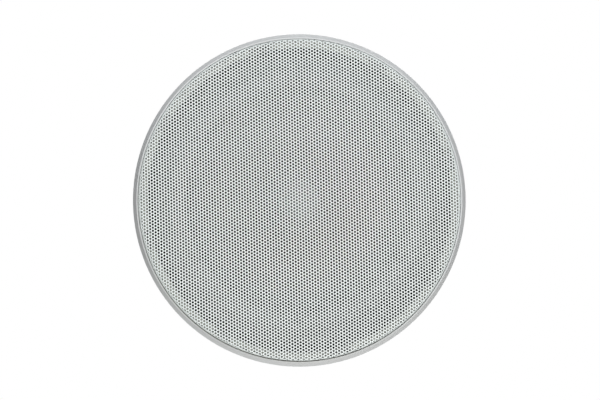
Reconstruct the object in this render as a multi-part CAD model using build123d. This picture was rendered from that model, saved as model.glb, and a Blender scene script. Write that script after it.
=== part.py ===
from build123d import *
import math
import os

# Two-way in-ceiling speaker, in millimetres. Z points up into the ceiling void, the ceiling's room side is
# z = 0 and the grille faces down, to -Z. Every radius is measured from the speaker's axis, which is Z.

# How far a cut runs past the faces it cuts, and the form of a screw's head
OVERCUT = 1.0
HEAD_FLAT_SHARE = 0.7
HEAD_ROUND_SHARE = 0.4

# Trim ring, as it shows in the room
FLANGE_D = 232.0
BEZEL_H = 5.6
BEZEL_W = 3.7
BEZEL_LIP = 0.9
BEZEL_EDGE = 1.2
BEZEL_ROUND = 0.5

# Ceiling cut-out
FLANGE_OVERLAP = 13.0
CUTOUT_D = FLANGE_D - 2 * FLANGE_OVERLAP
CUTOUT_PLAY = 2.5

# Grille: a steel pan whose perforation is coarser here than the real 2.2 mm one
GRILLE_T = 0.8
GRILLE_PROUD = 0.6
GRILLE_PLAY = 0.2
GRILLE_BEND = 2.4
GRILLE_SKIRT = 4.0
HOLE_PITCH = 13.2
HOLE_FLATS = 7.8
HOLE_TURN = -1.5
HOLE_MARGIN = 2.5

# Grille magnets, let into a ledge behind the grille
MAGNET_COUNT = 8
MAGNET_TURN = 30.0
MAGNET_L = 14.0
MAGNET_W = 2.8
POCKET_DEPTH = 1.0
POCKET_PLAY = 0.05

# Frame behind the grille
WALL_T = 2.5
GROOVE_W = 2.3
GROOVE_FLOOR = 1.6
LEDGE_W = 3.8
LEDGE_GAP = 1.4
BAFFLE_DEPTH = 6.0
RIB_H = 3.0
RIB_T = 2.0
RIB_COUNT = 16
RIM_PLAY = 3.0
OPENING_PLAY = 3.0
SHOULDER_W = 3.0
SEAM_W = 1.0
LAP_W = 3.0
LAP_T = 1.25
FELT_T = 0.8
FELT_PLAY = 0.2
RIB_MARGIN = 1.0
PAD_SINK = 1.5
BOSS_SINK = 2.0

# Woofer chassis, inside the band that the clamps need
CLAMP_BAND = 12.5
RIM_D = CUTOUT_D - 2 * (CUTOUT_PLAY + CLAMP_BAND)
RIM_W = 14.5
MOUTH_D = RIM_D - 2 * RIM_W
BASKET_T = 1.1
BASKET_TAPER = 23.5
SHELF_DEPTH = 32.0
SHELF_R = MOUTH_D / 2 - BASKET_TAPER
SHELF_W = 8.5
SEAT_DEPTH = 9.0
SEAT_TAPER = 4.5
SEAT_R = SHELF_R - SHELF_W - SEAT_TAPER
SEAT_HOLE_R = 15.5
WINDOW_COUNT = 8
WINDOW_W = 21.0
WINDOW_EDGE = 5.0
WINDOW_CORNER = 4.0
RIM_SCREWS = 6
RIM_SCREW_TURN = 30.0
RIM_SCREW_IN = 4.0
RIM_SCREW_R = RIM_D / 2 - RIM_SCREW_IN
RIM_SCREW_D = 3.4
RIM_HEAD_D = 7.2
RIM_HEAD_H = 2.0
RIM_SCREW_SHORT = 0.5

# Woofer moving parts
SURROUND_T = 0.6
SURROUND_LAND = 6.5
ROLL_R = 5.5
ROLL_STEPS = 8
GASKET_T = 1.2
CONE_T = 0.5
CONE_LIP = 4.0
CONE_DEPTH = 24.0
NECK_H = 4.0
COIL_D = 25.4
FORMER_T = 0.2
FORMER_H = 26.5
FORMER_SINK = 0.5
COIL_T = 0.7
COIL_H = 10.0
SPIDER_T = 0.4
SPIDER_WAVES = 4
SPIDER_WAVE_H = 2.0
SPIDER_NECK = 3.5
SPIDER_FLAT = 1.0
SPIDER_EDGE = 0.6

# Woofer motor
GAP_PLAY = 0.3
TOP_PLATE_D = 76.0
TOP_PLATE_T = 6.0
MAGNET_D = 85.0
MAGNET_HOLE_D = 40.0
MAGNET_T = 16.0
BACK_PLATE_D = 80.0
BACK_PLATE_T = 6.0
BACK_PLATE_BEVEL = 1.5

# Tweeter on its post, in the middle of the cone
TWEETER_GAP = 2.0
TWEETER_D = 42.0
FACEPLATE_H = 7.3
FACEPLATE_RIM = 1.0
THROAT_H = 1.2
THROAT_PLAY = 0.8
DOME_D = 25.8
DOME_H = 5.5
DOME_T = 0.4
DOME_RIM = 4.0
DOME_SEAT = 0.5
DOME_STEPS = 8
TWEETER_COIL_T = 0.6
TWEETER_COIL_H = 4.1
TWEETER_GAP_IN = 0.4
TWEETER_GAP_OUT = 0.7
TWEETER_POLE_STEP = 1.0
TWEETER_PLATE_T = 2.5
TWEETER_MAGNET_T = 4.0
TWEETER_MAGNET_D = 23.0
TWEETER_YOKE_WALL = 2.3
TWEETER_YOKE_FLOOR = 2.5
TWEETER_FLOOR = 3.1
HOUSING_BEVEL = 2.0
POST_FLANGE_D = 26.0
POST_FLANGE_T = 2.5
POST_D = 14.0
STUD_D = 6.0
STUD_BORE_D = 2.8
STUD_PLAY = 0.1
STUD_TAIL = 4.0
NUT_FLATS = 10.0
NUT_T = 4.5

# Ceiling clamps
CLAMP_ANGLES = (45.0, 135.0, 225.0, 315.0)
CLAMP_SCREW_D = 4.0
CLAMP_PLAY = 0.08
CLAMP_HEAD_D = 7.6
CLAMP_HEAD_H = 2.4
CLAMP_HEAD_PLAY = 0.6
CLAMP_HOLE_PLAY = 0.3
CLAMP_TIP = 1.0
HUB_D = 12.0
HUB_H = 14.0
HUB_MARGIN = 0.5
ARM_L = 27.0
ARM_T = 5.0
ARM_TIP_D = 9.0
FOOT_H = 1.2
FOOT_IN = 0.5
DOG_Z = 44.0
DOG_TURN = -110.0
DOG_CLEAR = 1.2
TOWER_T = 2.2
TOWER_BACK = 1.0
TOWER_MARGIN = 0.2
TOWER_PLAY = 1.2
CHEEK_PLAY = 0.6
CAP_T = 3.0
CAP_PLAY = 1.0

# Leads and the woofer's tags
LEAD_D = 1.6
TINSEL_D = 1.2
TWEETER_LEAD_D = 2.4
LEAD_Y = 4.0
LEAD_EDGE = 1.7
TWEETER_LEAD_Y = -9.0
LEAD_RISE = 6.0
LEAD_TOP = 9.0
LEAD_BEND = 14.0
LEAD_ENTRY_BEND = 7.5
LEAD_BEND_SHARE = 0.45
LEAD_CLEAR = 8.0
LEAD_PLUG = 4.0
TINSEL_BEND = 2.0
TINSEL_DROP = 4.0
TINSEL_OUT = 2.4
TINSEL_IN = 9.0
TINSEL_STEP = 3.5
TINSEL_FOOT = 7.0
TINSEL_GAP = 0.05
LUG_T = 0.5
LUG_W = 3.0
LUG_REACH = 6.0
LUG_TIP_R = SHELF_R + LUG_REACH
LUG_IN = 2.5
STRIP_IN = 1.5
STRIP_T = 1.6
STRIP_W = 14.0
STRIP_L = 6.5

# Crossover, on three posts of the frame and beyond the woofer's lugs. Its parts are laid out from the board's
# inner edge, along the radius at BOARD_ANGLE.
BOARD_ANGLE = 180.0
BOARD_Z = 30.0
BOARD_T = 1.6
BOARD_L = 32.0
BOARD_GAP = 4.5
BOARD_INNER = LUG_TIP_R + BOARD_GAP
BOARD_W = 70.0
BOARD_CORNER = 3.0
POST_R = 3.5
BOARD_POSTS = ((24.5, 28.0), (24.5, -28.0), (20.5, -1.0))
BOARD_SCREW_D = 2.4
BOARD_HEAD_D = 5.4
BOARD_HEAD_H = 1.8
BOARD_SCREW_L = 9.0
BOARD_SCREW_SHORT = 1.0
INDUCTOR_AT = (13.0, -17.5)
INDUCTOR_D = 25.0
INDUCTOR_HOLE_D = 10.0
INDUCTOR_H = 14.0
FILM_CAP_AT = (6.5, 19.0)
FILM_CAP_D = 12.0
FILM_CAP_L = 26.0
ROUND_CAP_AT = (17.0, 29.5)
ROUND_CAP_D = 7.6
ROUND_CAP_H = DOG_Z - FOOT_H - DOG_CLEAR - BOARD_Z - BOARD_T
RESISTOR_AT = (10.5, -0.5)
RESISTOR_L = 14.0
RESISTOR_W = 7.0
RESISTOR_CHAMFER = 0.8

# Terminal block at the board's outer edge
BLOCK_L = 15.0
BLOCK_W = 19.0
BLOCK_H = 16.0
BLOCK_Y = 13.5
BLOCK_SLOPE = 4.0
BLOCK_DROP = 5.6
BUTTON_W = 6.0
BUTTON_H = 10.6
BUTTON_PLAY = 0.25
BUTTON_PROUD = 3.0
BUTTON_STROKE = 2.5
BUTTON_REST = 0.5
BUTTON_PITCH = 9.0
BUTTON_BACK = 8.5
BUTTON_BEVEL = 0.8
WIRE_SLOT = 3.2
WIRE_SLOT_DEPTH = 5.0
WIRE_SLOT_FLOOR = 1.2

# Places that follow from the sizes above: the trim ring and grille
bezel_r = FLANGE_D / 2
bezel_inner_r = bezel_r - BEZEL_W
face_z = -(BEZEL_H + GRILLE_PROUD)
sheet_z = face_z + GRILLE_T
skirt_r = bezel_inner_r - GRILLE_PLAY
ledge_outer_r = bezel_inner_r - GROOVE_W
ledge_inner_r = ledge_outer_r - LEDGE_W
ledge_z = sheet_z + LEDGE_GAP
ledge_r = (ledge_outer_r + ledge_inner_r) / 2

# the frame behind it
collar_r = CUTOUT_D / 2 - CUTOUT_PLAY
rim_r = RIM_D / 2
mouth_r = MOUTH_D / 2
baffle_z = BAFFLE_DEPTH
baffle_back_z = baffle_z + WALL_T
collar_z = baffle_back_z + RIB_H
dish_r = rim_r + RIM_PLAY
opening_r = mouth_r + OPENING_PLAY
shoulder_r = collar_r - SHOULDER_W
seam_r = collar_r + SEAM_W
lap_r = seam_r - LAP_W
lap_z = LAP_T - WALL_T

# the woofer, from the rim to the motor's back
rim_z = baffle_z - BASKET_T
shelf_z = baffle_z + SHELF_DEPTH
shelf_back_z = shelf_z + BASKET_T
seat_z = shelf_z + SEAT_DEPTH
top_plate_z = seat_z + BASKET_T
magnet_z = top_plate_z + TOP_PLATE_T
back_plate_z = magnet_z + MAGNET_T
motor_z = back_plate_z + BACK_PLATE_T
former_r = COIL_D / 2
coil_r = former_r + COIL_T
pole_r = former_r - FORMER_T - GAP_PLAY
gap_r = coil_r + GAP_PLAY
cone_r = mouth_r - 2 * ROLL_R
cone_land_r = cone_r - CONE_LIP
neck_z = rim_z + CONE_DEPTH
former_z = neck_z - FORMER_SINK
former_back_z = former_z + FORMER_H

# the tweeter
tweeter_z = sheet_z + TWEETER_GAP
tweeter_r = TWEETER_D / 2
tweeter_seat_z = tweeter_z + FACEPLATE_H
dome_r = DOME_D / 2
dome_rim_r = dome_r + DOME_RIM
tweeter_coil_r = dome_r + TWEETER_COIL_T / 2
tweeter_pole_r = tweeter_coil_r - TWEETER_COIL_T - TWEETER_GAP_IN
yoke_inner_r = tweeter_coil_r + TWEETER_GAP_OUT
yoke_outer_r = yoke_inner_r + TWEETER_YOKE_WALL
plate_z = tweeter_seat_z + TWEETER_POLE_STEP
small_magnet_z = plate_z + TWEETER_PLATE_T
yoke_floor_z = small_magnet_z + TWEETER_MAGNET_T
cup_floor_z = yoke_floor_z + TWEETER_YOKE_FLOOR
tweeter_back_z = cup_floor_z + TWEETER_FLOOR

# the clamps
hub_r = HUB_D / 2
clamp_r = collar_r - hub_r - HUB_MARGIN
cap_z = DOG_Z + HUB_H + CAP_PLAY
tower_inner_r = clamp_r - hub_r - TOWER_PLAY - TOWER_T
cheek_y = hub_r + CHEEK_PLAY
tower_side_y = cheek_y + TOWER_T
tower_outer_x = math.sqrt((collar_r - TOWER_MARGIN) ** 2 - tower_side_y ** 2)
cap_top_z = cap_z + CAP_T

# the crossover
board_top_z = BOARD_Z + BOARD_T
block_inner = BOARD_L - BLOCK_L
block_top_z = board_top_z + BLOCK_H
button_x = BOARD_L - BUTTON_BACK
strip_z = shelf_back_z + STRIP_T
lug_z = strip_z + LUG_T
post_end_z = motor_z + NUT_T + STUD_TAIL
beside_board = Rot(0, 0, BOARD_ANGLE)
on_board = beside_board * Pos(BOARD_INNER, 0, 0)


def turned(outline):
    """A closed outline of (radius, height) points, spun about the speaker's axis."""
    return revolve(Plane.XZ * make_face(Polyline(*outline, close=True)), Axis.Z)


def ring(inner_r, outer_r, low, high):
    """A flat-ended ring about the speaker's axis."""
    return turned([(inner_r, low), (outer_r, low), (outer_r, high), (inner_r, high)])


def rod(x, y, radius, low, high):
    """An upright round rod at (x, y)."""
    return Pos(x, y, low) * Cylinder(radius, high - low, align=(Align.CENTER, Align.CENTER, Align.MIN))


def plate(outline, low, high):
    """A closed outline of (x, y) points, drawn up from one height to another."""
    return Pos(0, 0, low) * extrude(make_face(Polyline(*outline, close=True)), amount=high - low)


def box_outline(x0, x1, y0, y1):
    """The four corners of a rectangle."""
    return [(x0, y0), (x1, y0), (x1, y1), (x0, y1)]


def skin(line, thickness):
    """The outline of a sheet: a line of (radius, height) points and its mitred copy on its right."""
    runs = [(b[0] - a[0], b[1] - a[1]) for a, b in zip(line, line[1:])]
    sides = [(dz / math.hypot(dr, dz), -dr / math.hypot(dr, dz)) for dr, dz in runs]
    before = [sides[0]] + sides
    after = sides + [sides[-1]]
    copy = []
    for (r, z), a, b in zip(line, before, after):
        share = thickness / (1 + a[0] * b[0] + a[1] * b[1])
        copy.append((r + share * (a[0] + b[0]), z + share * (a[1] + b[1])))
    return list(line) + copy[::-1]


def around(count, first=0.0):
    """Evenly spaced turns about the speaker's axis."""
    return [Rot(0, 0, first + 360.0 * k / count) for k in range(count)]


def headed(x, y, head_r, head_z, shank_r, seat, tip):
    """A screw: a rounded pan head from head_z to its seat, and a plain shank with a pointed tip."""
    way = 1 if tip > seat else -1
    bevel = (seat - head_z) * HEAD_ROUND_SHARE
    outline = [(0, head_z), (head_r * HEAD_FLAT_SHARE, head_z), (head_r, head_z + bevel), (head_r, seat),
               (shank_r, seat), (shank_r, tip - way * shank_r), (0, tip)]
    return Pos(x, y, 0) * turned(outline)


def lead(points, radius, bend):
    """A round lead along a path of straight runs with bends."""
    path = FilletPolyline(*points, radius=bend)
    start = Plane(origin=path @ 0, z_dir=path % 0)
    return sweep(start * Circle(radius), path=path)


def slope_r(z, offset):
    """Radius of the wall between shoulder and baffle at a height, offset square to its front face."""
    run = shoulder_r - dish_r
    rise = baffle_z + WALL_T
    return dish_r + (baffle_z - z) * run / rise + offset * math.hypot(run, rise) / rise


def slope_z(r, offset):
    """Height of the same wall at a radius."""
    run = shoulder_r - dish_r
    rise = baffle_z + WALL_T
    return baffle_z - (r - dish_r) * rise / run + offset * math.hypot(run, rise) / run


def rounded_turn(corners):
    """A turned solid from (radius, height, corner rounding) points."""
    section = FilletPolyline(*[(r, z) for r, z, _ in corners], radius=[c[2] for c in corners], close=True)
    return revolve(Plane.XZ * make_face(section), Axis.Z)


def make_tower():
    """A clamp tower, still along +X: a pad, an angle section and a cap that steadies the screw's tip."""
    wall_x = tower_inner_r + TOWER_T
    foot_line = box_outline(tower_inner_r, tower_outer_x, -hub_r, tower_side_y)
    angle_line = [(tower_inner_r, -TOWER_BACK), (wall_x, -TOWER_BACK), (wall_x, cheek_y),
                  (tower_outer_x, cheek_y), (tower_outer_x, tower_side_y), (tower_inner_r, tower_side_y)]
    tower = plate(foot_line, baffle_back_z - PAD_SINK, collar_z) + rod(clamp_r, 0, hub_r, baffle_z, collar_z)
    return tower + plate(angle_line, baffle_back_z, cap_top_z) + plate(foot_line, cap_z, cap_top_z)


def make_rib():
    """A rib on the baffle's back, still along +X, up to the collar's height."""
    inner_r = opening_r + RIB_MARGIN
    outer_r = collar_r - RIB_MARGIN
    middle = WALL_T / 2
    foot_z = slope_z(shoulder_r, middle)
    line = [(inner_r, baffle_z + middle), (dish_r, baffle_z + middle), (shoulder_r, foot_z),
            (outer_r, foot_z), (outer_r, collar_z), (inner_r + RIB_H, collar_z), (inner_r, baffle_back_z)]
    return extrude(Plane.XZ * make_face(Polyline(*line, close=True)), amount=RIB_T / 2, both=True)


def make_trim_ring():
    """The white ring that shows in the room: bevelled bezel, grille groove, ledge with magnet pockets, and
    a web that laps over the frame's lip."""
    body = rounded_turn([
        (bezel_r, 0, 0),
        (bezel_r, -BEZEL_EDGE, BEZEL_ROUND),
        (bezel_inner_r + BEZEL_LIP, -BEZEL_H, BEZEL_ROUND),
        (bezel_inner_r, -BEZEL_H, 0),
        (bezel_inner_r, -GROOVE_FLOOR, 0),
        (ledge_outer_r, -GROOVE_FLOOR, 0),
        (ledge_outer_r, ledge_z, 0),
        (ledge_inner_r, ledge_z, 0),
        (ledge_inner_r, -WALL_T, 0),
        (lap_r, -WALL_T, 0),
        (lap_r, lap_z, 0),
        (seam_r, lap_z, 0),
        (seam_r, 0, 0),
    ])
    half_w = MAGNET_W / 2 + POCKET_PLAY
    half_l = MAGNET_L / 2 + POCKET_PLAY
    pocket_line = box_outline(ledge_r - half_w, ledge_r + half_w, -half_l, half_l)
    pocket = plate(pocket_line, ledge_z - OVERCUT, ledge_z + POCKET_DEPTH)
    return body - [turn * pocket for turn in around(MAGNET_COUNT, MAGNET_TURN)]


def make_frame():
    """The black moulded frame that carries the trim ring: lip, sloped wall, baffle and collar in one turned
    section, with ribs, clamp towers, screw bosses and board posts, and their holes."""
    collar_inner_r = collar_r - WALL_T
    body = turned([
        (seam_r, 0),
        (seam_r, lap_z),
        (lap_r, lap_z),
        (lap_r, -WALL_T),
        (shoulder_r, -WALL_T),
        (dish_r, baffle_z),
        (opening_r, baffle_z),
        (opening_r, baffle_back_z),
        (slope_r(baffle_back_z, WALL_T), baffle_back_z),
        (collar_inner_r, slope_z(collar_inner_r, WALL_T)),
        (collar_inner_r, collar_z),
        (collar_r, collar_z),
        (collar_r, 0),
    ])
    body += [turn * make_rib() for turn in around(RIB_COUNT, 180.0 / RIB_COUNT)]
    body += [Rot(0, 0, angle) * make_tower() for angle in CLAMP_ANGLES]
    boss_z = baffle_back_z - BOSS_SINK
    boss = rod(RIM_SCREW_R, 0, RIM_SCREW_D, boss_z, collar_z)
    body += [turn * boss for turn in around(RIM_SCREWS, RIM_SCREW_TURN)]
    body += [on_board * rod(x, y, POST_R, boss_z, BOARD_Z) for x, y in BOARD_POSTS]

    # holes for the clamps, the woofer's screws and the board's screws
    seat_bore = rod(clamp_r, 0, CLAMP_SCREW_D / 2 + CLAMP_HOLE_PLAY, 0, collar_z + OVERCUT)
    cap_bore = rod(clamp_r, 0, CLAMP_SCREW_D / 2 + CLAMP_PLAY, cap_z - OVERCUT, cap_top_z + OVERCUT)
    head_bore = rod(clamp_r, 0, CLAMP_HEAD_D / 2 + CLAMP_HEAD_PLAY, ledge_z, baffle_z)
    cuts = [Rot(0, 0, angle) * bore for angle in CLAMP_ANGLES for bore in (seat_bore, cap_bore, head_bore)]
    pilot = rod(RIM_SCREW_R, 0, RIM_SCREW_D / 2 + POCKET_PLAY, baffle_z - OVERCUT, collar_z + OVERCUT)
    cuts += [turn * pilot for turn in around(RIM_SCREWS, RIM_SCREW_TURN)]
    pilot_r = BOARD_SCREW_D / 2 + POCKET_PLAY
    board_pilot = rod(0, 0, pilot_r, BOARD_Z - BOARD_SCREW_L, BOARD_Z + OVERCUT)
    cuts += [on_board * Pos(x, y, 0) * board_pilot for x, y in BOARD_POSTS]
    return body - cuts


def make_grille_magnets():
    """Bar magnets between the ledge's pockets and the back of the grille."""
    bar_line = box_outline(ledge_r - MAGNET_W / 2, ledge_r + MAGNET_W / 2, -MAGNET_L / 2, MAGNET_L / 2)
    bar = plate(bar_line, sheet_z, ledge_z + POCKET_DEPTH)
    return [turn * bar for turn in around(MAGNET_COUNT, MAGNET_TURN)]


def make_grille():
    """A round pan with a rolled edge, and a hexagonal field of hexagonal holes turned as in the photo."""
    flat_r = skirt_r - GRILLE_BEND
    skirt_z = face_z + GRILLE_SKIRT
    inner_bend = GRILLE_BEND - GRILLE_T
    pan = rounded_turn([
        (0, face_z, 0),
        (skirt_r, face_z, GRILLE_BEND),
        (skirt_r, skirt_z, 0),
        (skirt_r - GRILLE_T, skirt_z, 0),
        (skirt_r - GRILLE_T, sheet_z, inner_bend),
        (0, sheet_z, 0),
    ])
    corner_r = HOLE_FLATS / math.sqrt(3)
    reach = flat_r - HOLE_MARGIN - corner_r
    row_step = HOLE_PITCH * math.sqrt(3) / 2
    rows = int(reach / row_step)
    columns = int(reach / HOLE_PITCH) + 1
    places = []
    for row in range(-rows, rows + 1):
        for k in range(-columns, columns + 1):
            x = row * row_step
            y = (k + (row % 2) / 2) * HOLE_PITCH
            if math.hypot(x, y) <= reach:
                places.append((x, y))
    holes = Rot(0, 0, HOLE_TURN) * (Sketch() + [Pos(x, y) * RegularPolygon(corner_r, 6) for x, y in places])
    return pan - Pos(0, 0, face_z - OVERCUT) * extrude(holes, amount=GRILLE_T + 2 * OVERCUT)


def make_basket():
    """A pressed steel basket: rim, windowed cone, spider shelf and motor seat in one sheet."""
    line = [(rim_r, rim_z), (mouth_r, rim_z), (SHELF_R, shelf_z), (SHELF_R - SHELF_W, shelf_z),
            (SEAT_R, seat_z), (SEAT_HOLE_R, seat_z)]
    body = turned(skin(line, BASKET_T))
    low = baffle_z + WINDOW_EDGE
    high = shelf_z - WINDOW_EDGE
    pane = Plane.YZ * Pos(0, (low + high) / 2) * RectangleRounded(WINDOW_W, high - low, WINDOW_CORNER)
    window = Pos(SHELF_R - OVERCUT, 0, 0) * extrude(pane, amount=rim_r - SHELF_R)
    cuts = [turn * window for turn in around(WINDOW_COUNT)]
    hole = rod(RIM_SCREW_R, 0, RIM_SCREW_D / 2 + CLAMP_HOLE_PLAY, rim_z - OVERCUT, baffle_z + OVERCUT)
    cuts += [turn * hole for turn in around(RIM_SCREWS, RIM_SCREW_TURN)]
    return body - cuts


def make_surround():
    """Half-roll surround: a land on the cone, a half circle towards the room and a land on the rim."""
    centre_r = mouth_r - ROLL_R
    roll = []
    for k in range(ROLL_STEPS + 1):
        turn = math.pi * k / ROLL_STEPS
        roll.append((centre_r - ROLL_R * math.cos(turn), rim_z - ROLL_R * math.sin(turn)))
    line = [(cone_land_r, rim_z)] + roll + [(mouth_r + SURROUND_LAND, rim_z)]
    return turned(skin(line, SURROUND_T))


def cone_line():
    """Front face of the cone, from its lip to the neck on the former."""
    return [(cone_r, rim_z), (cone_land_r, rim_z), (former_r, neck_z), (former_r, neck_z + NECK_H)]


def make_spider():
    """Corrugated disc from the former to the basket's shelf."""
    first = former_r + SPIDER_NECK
    last = SHELF_R - SHELF_W - SPIDER_FLAT
    step = (last - first) / (2 * SPIDER_WAVES)
    waves = []
    for k in range(2 * SPIDER_WAVES):
        way = 1 if k % 2 == 0 else -1
        waves.append((first + (k + 0.5) * step, shelf_z + way * SPIDER_WAVE_H))
    line = [(former_r, shelf_z), (first, shelf_z), *waves, (last, shelf_z), (SHELF_R - SPIDER_EDGE, shelf_z)]
    return turned(skin(line, SPIDER_T))


def make_yoke():
    """Back plate and pole in one, bored for the tweeter's stud."""
    bore_r = STUD_D / 2 + STUD_PLAY
    plate_r = BACK_PLATE_D / 2
    outline = [(bore_r, top_plate_z), (pole_r, top_plate_z), (pole_r, back_plate_z), (plate_r, back_plate_z),
               (plate_r, motor_z - BACK_PLATE_BEVEL), (plate_r - BACK_PLATE_BEVEL, motor_z),
               (bore_r, motor_z)]
    return turned(outline)


def make_post():
    """The tweeter's post: a flange behind the tweeter, a stem and a hollow stud through the pole."""
    bore_r = STUD_BORE_D / 2
    flange_z = tweeter_back_z + POST_FLANGE_T
    outline = [(bore_r, tweeter_back_z), (POST_FLANGE_D / 2, tweeter_back_z), (POST_FLANGE_D / 2, flange_z),
               (POST_D / 2, flange_z), (POST_D / 2, top_plate_z), (STUD_D / 2, top_plate_z),
               (STUD_D / 2, post_end_z), (bore_r, post_end_z)]
    return turned(outline)


def make_nut():
    """Hexagon nut on the stud, against the back plate."""
    flats = RegularPolygon(NUT_FLATS / 2, 6, major_radius=False) - Circle(STUD_D / 2 + CLAMP_PLAY)
    return Pos(0, 0, motor_z) * extrude(flats, amount=NUT_T)


def make_faceplate():
    """Flared ring in front of the dome, recessed at the back for the dome's rim."""
    recess_z = tweeter_seat_z - DOME_SEAT
    throat_r = dome_r + THROAT_PLAY
    outline = [(throat_r, recess_z), (throat_r, recess_z - THROAT_H), (tweeter_r - FACEPLATE_RIM, tweeter_z),
               (tweeter_r, tweeter_z), (tweeter_r, tweeter_seat_z), (dome_rim_r, tweeter_seat_z),
               (dome_rim_r, recess_z)]
    return turned(outline)


def make_dome():
    """Dome and flat rim pressed from one sheet."""
    rim_front = tweeter_seat_z - DOME_SEAT
    ball_r = (dome_r ** 2 + DOME_H ** 2) / (2 * DOME_H)
    centre_z = rim_front - DOME_H + ball_r
    sweep_angle = math.asin(dome_r / ball_r)
    front = []
    back = []
    for k in range(DOME_STEPS + 1):
        turn = sweep_angle * k / DOME_STEPS
        front.append((ball_r * math.sin(turn), centre_z - ball_r * math.cos(turn)))
        back.append(((ball_r - DOME_T) * math.sin(turn), centre_z - (ball_r - DOME_T) * math.cos(turn)))
    rim = [(dome_rim_r, rim_front), (dome_rim_r, tweeter_seat_z), (back[-1][0], tweeter_seat_z)]
    return turned(front + rim + back[::-1])


def make_tweeter_yoke():
    """Steel cup round the small magnet."""
    outline = [(0, yoke_floor_z), (yoke_inner_r, yoke_floor_z), (yoke_inner_r, tweeter_seat_z),
               (yoke_outer_r, tweeter_seat_z), (yoke_outer_r, cup_floor_z), (0, cup_floor_z)]
    return turned(outline)


def make_tweeter_housing():
    """Cup behind the faceplate, closed on the post, with a hole for the leads."""
    bore_r = STUD_BORE_D / 2
    inner_r = yoke_outer_r + POCKET_PLAY
    outline = [(bore_r, cup_floor_z), (inner_r, cup_floor_z), (inner_r, tweeter_seat_z),
               (tweeter_r, tweeter_seat_z), (tweeter_r, tweeter_back_z - HOUSING_BEVEL),
               (tweeter_r - HOUSING_BEVEL, tweeter_back_z), (bore_r, tweeter_back_z)]
    return turned(outline)


def make_dog():
    """Clamp dog along +X about its own screw: tapered arm, hub and a foot under the arm's tip."""
    shape = make_hull([*Circle(hub_r).edges(), *(Pos(ARM_L, 0) * Circle(ARM_TIP_D / 2)).edges()])
    body = extrude(shape, amount=ARM_T) + rod(0, 0, hub_r, 0, HUB_H)
    body += rod(ARM_L, 0, ARM_TIP_D / 2 - FOOT_IN, -FOOT_H, ARM_T / 2)
    return body - rod(0, 0, CLAMP_SCREW_D / 2 + CLAMP_PLAY, -OVERCUT, HUB_H + OVERCUT)


def make_board():
    """Circuit board with a hole over each post."""
    shape = Pos(BOARD_L / 2, 0) * RectangleRounded(BOARD_L, BOARD_W, BOARD_CORNER)
    shape -= [Pos(x, y) * Circle(BOARD_SCREW_D / 2 + CLAMP_HOLE_PLAY) for x, y in BOARD_POSTS]
    return Pos(0, 0, BOARD_Z) * extrude(shape, amount=BOARD_T)


def make_resistor():
    """Cement resistor: a bevelled bar lying on the board."""
    x, y = RESISTOR_AT
    low = Pos(x, y, board_top_z) * Rectangle(RESISTOR_L, RESISTOR_W)
    bar = extrude(low, amount=RESISTOR_W)
    return chamfer(bar.faces().sort_by(Axis.Z)[-1].edges(), RESISTOR_CHAMFER)


def button_places():
    """Where the two push buttons stand on the terminal block."""
    return [(button_x, BLOCK_Y - BUTTON_PITCH / 2), (button_x, BLOCK_Y + BUTTON_PITCH / 2)]


def make_block():
    """Terminal block: a sloped section drawn across the board's edge, with button wells and wire slots."""
    line = [(block_inner, board_top_z), (BOARD_L, board_top_z), (BOARD_L, block_top_z - BLOCK_DROP),
            (BOARD_L - BLOCK_SLOPE, block_top_z), (block_inner, block_top_z)]
    section = Plane.XZ * make_face(Polyline(*line, close=True))
    body = Pos(0, BLOCK_Y, 0) * extrude(section, amount=BLOCK_W / 2, both=True)
    half = BUTTON_W / 2 + BUTTON_PLAY
    floor_z = block_top_z + BUTTON_PROUD - BUTTON_H - BUTTON_STROKE - BUTTON_REST
    slot_z = board_top_z + WIRE_SLOT_FLOOR
    cuts = []
    for x, y in button_places():
        well = box_outline(x - half, x + half, y - half, y + half)
        slot = box_outline(BOARD_L - WIRE_SLOT_DEPTH, BOARD_L + OVERCUT, y - WIRE_SLOT / 2, y + WIRE_SLOT / 2)
        cuts.append(plate(well, floor_z, block_top_z + OVERCUT))
        cuts.append(plate(slot, slot_z, slot_z + WIRE_SLOT))
    return body - cuts


def make_button(x, y):
    """Push button with a bevelled top, standing proud of the block by its stroke."""
    low = block_top_z + BUTTON_PROUD - BUTTON_H
    bar = extrude(Pos(x, y, low) * Rectangle(BUTTON_W, BUTTON_W), amount=BUTTON_H)
    return chamfer(bar.faces().sort_by(Axis.Z)[-1].edges(), BUTTON_BEVEL)


def make_strip():
    """Tag strip on the back of the basket's shelf."""
    inner = SHELF_R - SHELF_W + STRIP_IN
    return plate(box_outline(inner, inner + STRIP_L, -STRIP_W / 2, STRIP_W / 2), shelf_back_z, strip_z)


def make_lugs():
    """Two solder lugs that reach out from the tag strip."""
    inner = SHELF_R - SHELF_W + LUG_IN
    lines = [box_outline(inner, LUG_TIP_R, y - LUG_W / 2, y + LUG_W / 2) for y in (-LEAD_Y, LEAD_Y)]
    return [plate(line, strip_z, lug_z) for line in lines]


def basket_r(z):
    """Radius of the basket's conical wall at a height, on its front face."""
    return mouth_r + (SHELF_R - mouth_r) * (z - rim_z) / (shelf_z - rim_z)


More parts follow.
